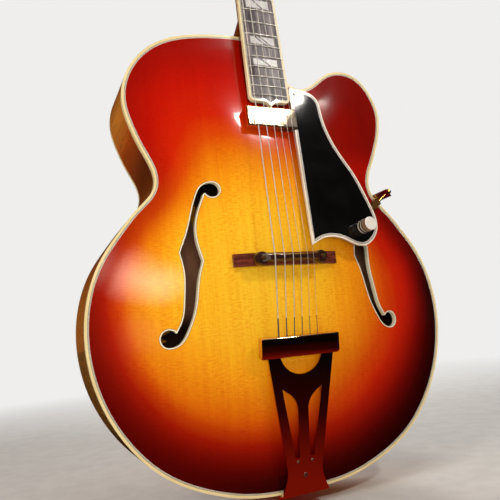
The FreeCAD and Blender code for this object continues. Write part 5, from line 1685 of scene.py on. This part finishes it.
@dataclass
class StringSet:
    """Six strings from the string bar over the saddle and the nut to the posts, sized in millimetres."""

    radii: tuple[float, ...] = (0.152, 0.203, 0.305, 0.406, 0.533, 0.660)
    saddle_shares: tuple[float, ...] = (1.0, 0.68, 0.30, -0.09, -0.53, -1.0)
    even_shares: tuple[float, ...] = (1.0, 0.6, 0.2, -0.2, -0.6, -1.0)
    saddle_half: float = 25.0
    nut_half: float = 17.75
    tail_half: float = 25.0
    saddle_up: float = 263.99
    saddle_crest: float = 42.2
    board_radius: float = 305.0
    rest_gap: float = 0.1
    nut_rise: float = 1.1
    ball_up: float = 173.4
    ball_drop: float = 4.8
    ball_radius: float = 1.9
    ball_length: float = 3.6
    ball_end: float = 0.8
    ball_easing: float = 0.3
    silk_start: float = 0.1
    silk_length: float = 24.0
    silk_gain: float = 0.18
    silk_taper: float = 0.6
    plain_strings: int = 2
    treble_strings: int = 3
    post_inset: float = 23.5
    post_step: float = 1.6
    post_first: float = 52.0
    post_pitch: float = 42.0
    post_ring: float = 3.3
    post_rise: float = 9.0
    winding_gap: float = 0.55
    winding_turns: float = 2.5
    turn_steps: int = 28
    span_steps: int = 24
    head_steps: int = 4
    plain: Finish = WoundWire("plain string")
    wound: Finish = WoundWire("wound string", 0.5 * MM)
    tails: dict[bool, Finish] = field(default_factory=lambda: {
        False: WoundWire("plain string tail", silk_from=3.7 * MM, silk_to=27 * MM),
        True: WoundWire("wound string tail", 0.5 * MM, silk_from=3.7 * MM, silk_to=27 * MM)})

    def marks(self, number: int) -> tuple[Vector, Vector, Vector]:
        """Finds where a string is held.

        Args:
            number: Number of the string.

        Returns:
            Its ball, saddle and nut points.
        """
        radius = self.radii[number - 1]
        even = self.even_shares[number - 1]
        x = self.saddle_shares[number - 1] * self.saddle_half
        crown = self.saddle_crest - self.board_radius + math.sqrt(self.board_radius ** 2 - x * x)
        ball = PLAN.tail @ (Vector((even * self.tail_half, self.ball_up, -self.ball_drop)) * MM)
        saddle = PLAN.bench @ (Vector((x, self.saddle_up, crown + radius + self.rest_gap)) * MM)
        nut_up = PLAN.nut_line + PLAN.nut_length / 2
        nut = PLAN.neck @ Vector((even * self.nut_half * MM, nut_up, (self.nut_rise + radius) * MM))
        return ball, saddle, nut

    def turns(self, number: int, entry: Vector) -> list[Vector]:
        """Points of the turns on the post, from where the string meets it.

        Args:
            number: Number of the string.
            entry: The nut point.

        Returns:
            The points, a fixed number to each turn.
        """
        radius = self.radii[number - 1]
        treble = number <= self.treble_strings
        side = 1 if treble else -1
        row = number - 1 if treble else len(self.radii) - number
        aside = side * (self.post_inset + self.post_step * row)
        spot = Vector((aside, self.post_first + self.post_pitch * row, 0))
        aim = (PLAN.head.inverted() @ entry) / MM - spot
        ring = self.post_ring + radius
        start = math.atan2(aim.y, aim.x) - side * math.acos(ring / math.hypot(aim.x, aim.y))
        fall = (2 * radius + self.winding_gap) / math.tau
        points = []
        for step in range(round(self.winding_turns * self.turn_steps) + 1):
            turn = step * math.tau / self.turn_steps
            angle = start - side * turn
            height = self.post_rise - fall * turn
            place = spot + Vector((ring * math.cos(angle), ring * math.sin(angle), height))
            points.append(PLAN.head @ (place * MM))
        return points

    def tail_piece(self, number: int, shop: Shop) -> bpy.types.Object:
        """Makes ball, silk and wire from the string bar to the saddle.

        Args:
            number: Number of the string.
            shop: The shop that makes the piece.

        Returns:
            The piece.
        """
        ball, saddle, _ = self.marks(number)
        along = (saddle - ball).normalized()
        wire = self.radii[number - 1]
        silk = wire + self.silk_gain
        whole = (saddle - ball).length / MM
        end = self.ball_radius * self.ball_end
        bare = self.silk_length + self.silk_taper
        steps = [(-self.ball_length, end), (-self.ball_length + self.ball_easing, self.ball_radius),
                 (-self.ball_easing, self.ball_radius), (0.0, end), (self.silk_start, silk),
                 (self.silk_length, silk), (bare, wire)]
        steps += [(bare + (whole - bare) * i / self.span_steps, wire) for i in range(1, self.span_steps + 1)]
        points = [ball + along * (place * MM) for place, _ in steps]
        radii = [radius * MM for _, radius in steps]
        return shop.tube("string_%d_tail" % number, points, radii, self.tails[number > self.plain_strings])

    def long_piece(self, number: int, shop: Shop) -> bpy.types.Object:
        """Makes the wire from the saddle over the nut to the last turn on the post.

        Args:
            number: Number of the string.
            shop: The shop that makes the piece.

        Returns:
            The piece.
        """
        _, saddle, nut = self.marks(number)
        points = [saddle.lerp(nut, i / self.span_steps) for i in range(self.span_steps + 1)]
        coil = self.turns(number, nut)
        points += [nut.lerp(coil[0], i / self.head_steps) for i in range(1, self.head_steps)] + coil
        radii = [self.radii[number - 1] * MM] * len(points)
        finish = self.wound if number > self.plain_strings else self.plain
        return shop.tube("string_%d_length" % number, points, radii, finish)

    def build(self, shop: Shop) -> None:
        """Makes the strings, each in two pieces that meet at the saddle.

        Args:
            shop: The shop that makes the pieces.
        """
        for number in range(1, len(self.radii) + 1):
            ball, saddle, nut = self.marks(number)
            for piece, fixed in ((self.tail_piece(number, shop), ball), (self.long_piece(number, shop), nut)):
                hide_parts("string_%d" % number)
                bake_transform(piece)
                log.info("made %s", piece.name)


@dataclass(frozen=True)
class Lamp:
    """A soft rectangular lamp that faces a point."""

    name: str
    place: tuple[float, float, float]
    aim: tuple[float, float, float]
    size: tuple[float, float]
    power: float
    colour: str = "ffffff"
    mirrored: bool = False

    def hang(self) -> bpy.types.Object:
        """Puts the lamp into the scene."""
        data = bpy.data.lights.new(self.name, "AREA")
        data.shape = "RECTANGLE"
        data.size, data.size_y = self.size
        data.energy = self.power
        data.color = linear(self.colour)[:3]
        made = Shop.link(self.name, data)
        face(made, self.place, self.aim)
        made.visible_glossy = self.mirrored
        return made


def face(thing: bpy.types.Object, place: Sequence[float], aim: Sequence[float]) -> None:
    """Moves an object to a place and turns its -Z to a point.

    Args:
        thing: The object.
        place: Where it goes.
        aim: The point that it faces.
    """
    thing.location = place
    thing.rotation_mode = "QUATERNION"
    thing.rotation_quaternion = (Vector(aim) - Vector(place)).to_track_quat("-Z", "Y")


@dataclass
class Studio:
    """Pale floor, soft lamps and a plain background."""

    floor_radius: float = 14.0
    floor_sides: int = 96
    floor_gap: float = 0.5 * MM
    paint: Finish = FloorPaint("studio floor")
    sky: str = "efeeec"
    front: str = "2e2a28"
    warm: str = "6e3610"
    rear: str = "6b605d"
    above: str = "fff4ee"
    wall_slant: float = 0.35
    warm_side: tuple[float, float] = (0.0, -0.35)
    ceiling: tuple[float, float] = (0.72, 0.92)
    rear_back: tuple[float, float] = (0.35, 0.85)
    rear_side: tuple[float, float] = (0.05, 0.35)
    fill: float = 0.14
    card: Finish = GlowCard("soft card")
    card_radius: float = 0.085
    card_sides: int = 48
    card_place: tuple[float, float, float] = (-0.197, -0.433, 0.351)
    card_aim: tuple[float, float, float] = (-0.164, -0.048, 0.247)
    low_lamp: Lamp = Lamp("front", (-0.36, -0.83, 0.22), (0.0, -0.06, 0.30), (0.18, 0.18), 2.8, "fff6ea")
    lamps: tuple[Lamp, ...] = (
        Lamp("high", (0.503, -0.957, 1.095), (-0.012, -0.067, 0.455), (0.225, 0.075), 5.4, "fffaf2", True),
        Lamp("left", (-1.5, -0.75, 1.1), (0.0, -0.06, 0.30), (0.9, 0.9), 13.5, "fff6ea"),
        Lamp("top", (0.1, -0.35, 2.0), (0.0, -0.06, 0.45), (0.6, 0.6), 6.0),
        Lamp("rear", (0.9, 1.5, 1.2), (0.0, 0.0, 0.4), (1.0, 1.0), 24.0))

    @staticmethod
    def disc(name: str, radius: float, segments: int, material: bpy.types.Material) -> bpy.types.Object:
        """Makes a flat disc that isn't part of the guitar.

        Args:
            name: Name of the disc.
            radius: Its radius.
            segments: Corners round it.
            material: Its material.

        Returns:
            The disc.
        """
        shape = bmesh.new()
        bmesh.ops.create_circle(shape, cap_ends=True, segments=segments, radius=radius)
        mesh = Shop.mesh(name, shape)
        mesh.materials.append(material)
        made = Shop.link(name, mesh)
        return made

    def floor(self, shop: Shop) -> bpy.types.Object:
        """Lays the floor under the guitar.

        Args:
            shop: The shop that makes its paint.

        Returns:
            The floor.
        """
        floor = self.disc("studio_floor", self.floor_radius, self.floor_sides, shop.finish(self.paint))
        floor.data.transform(Matrix.Translation((0, 0, cad_box[0].z - self.floor_gap)))
        return floor

    def soft_card(self, shop: Shop) -> None:
        """Hangs a small glowing card that only shows as a soft sheen on polished surfaces.

        Args:
            shop: The shop that makes its paint.
        """
        card = self.disc("soft_card", 1.0, self.card_sides, shop.finish(self.card))
        face(card, self.card_place, self.card_aim)
        card.scale = Vector((1, 1, 1)) * self.card_radius
        card.visible_camera = card.visible_diffuse = card.visible_transmission = card.visible_shadow = False

    @staticmethod
    def shield(lamp: bpy.types.Object, floor: bpy.types.Object) -> None:
        """Keeps the glare of a low lamp off the floor.

        Args:
            lamp: The low lamp.
            floor: The floor.
        """
        shielded = bpy.data.collections.new(lamp.name + "_shielded")
        shielded.objects.link(floor)
        lamp.light_linking.receiver_collection = shielded
        shielded.collection_objects[0].light_linking.link_state = "EXCLUDE"

    def background(self) -> None:
        """Sets a pale background, dimmer on the side of the camera, with little light of its own."""
        world = bpy.data.worlds.new("studio")
        world.use_nodes = True
        graph = Graph(world.node_tree)
        graph.tree.nodes.clear()
        x, y, z = graph.parts(graph.node("ShaderNodeTexCoord").outputs["Generated"])
        paths = graph.node("ShaderNodeLightPath").outputs
        side = graph.minus(x, graph.times(y, self.wall_slant))
        walls = graph.mix(graph.span(side, *self.warm_side), linear(self.front), linear(self.warm))
        ceiling = graph.mix(graph.span(z, *self.ceiling), walls, linear(self.above))
        behind = graph.times(graph.span(y, *self.rear_back), graph.span(x, *self.rear_side))
        mirrored = graph.mix(behind, ceiling, linear(self.rear))
        diffuse = graph.mix(0.5, linear(self.sky), linear(self.front))
        tone = graph.mix(paths["Is Glossy Ray"], diffuse, mirrored)
        seen = graph.math("MAXIMUM", paths["Is Camera Ray"], paths["Is Transmission Ray"])
        strength = graph.plus(graph.times(paths["Is Glossy Ray"], 1 - self.fill), self.fill)
        light = graph.node("ShaderNodeBackground", {
            "Color": graph.mix(seen, tone, linear(self.sky)),
            "Strength": graph.plus(graph.times(seen, 1 - self.fill), strength, clamp=True)})
        graph.node("ShaderNodeOutputWorld", {"Surface": light.outputs[0]})
        bpy.context.scene.world = world

    def build(self, shop: Shop) -> None:
        """Sets up the floor, the card, the lamps, the background and the view transform.

        Args:
            shop: The shop that makes the paints.
        """
        floor = self.floor(shop)
        self.soft_card(shop)
        self.shield(self.low_lamp.hang(), floor)
        for lamp in self.lamps:
            lamp.hang()
        self.background()
        bpy.context.scene.view_settings.view_transform = "Standard"


@dataclass
class ViewPoint:
    """Camera at the photograph's place."""

    place: tuple[float, float, float] = (-0.29640, -0.63283, 0.17824)
    right: tuple[float, float, float] = (0.91685, -0.38774, -0.09514)
    up: tuple[float, float, float] = (0.02571, -0.18046, 0.98325)
    forward: tuple[float, float, float] = (0.39841, 0.90393, 0.15548)
    lens: float = 39.399
    sensor: float = 36.0
    nearest: float = 0.01

    def build(self) -> None:
        """Makes the camera."""
        data = bpy.data.cameras.new("camera")
        data.lens = self.lens
        data.sensor_width = self.sensor
        data.clip_start = self.nearest
        made = Shop.link("camera", data)
        turn = Matrix((self.right, self.up, -Vector(self.forward))).transposed()
        made.matrix_world = Matrix.Translation(self.place) @ turn.to_4x4()
        bpy.context.scene.camera = made


def main() -> None:
    """Builds the guitar's dress, the studio and the camera in order."""
    logging.basicConfig(level=logging.INFO, format="%(name)s: %(message)s")
    shop = Shop()
    ViewPoint().build()
    StringSet().build(shop)
    Body().build(shop)
    Neck().build(shop)
    Bridge().build(shop)
    Tailpiece().build(shop)
    Electrics().build(shop)
    Tuners().build(shop)
    Studio().build(shop)


if __name__ == "__main__":
    main()
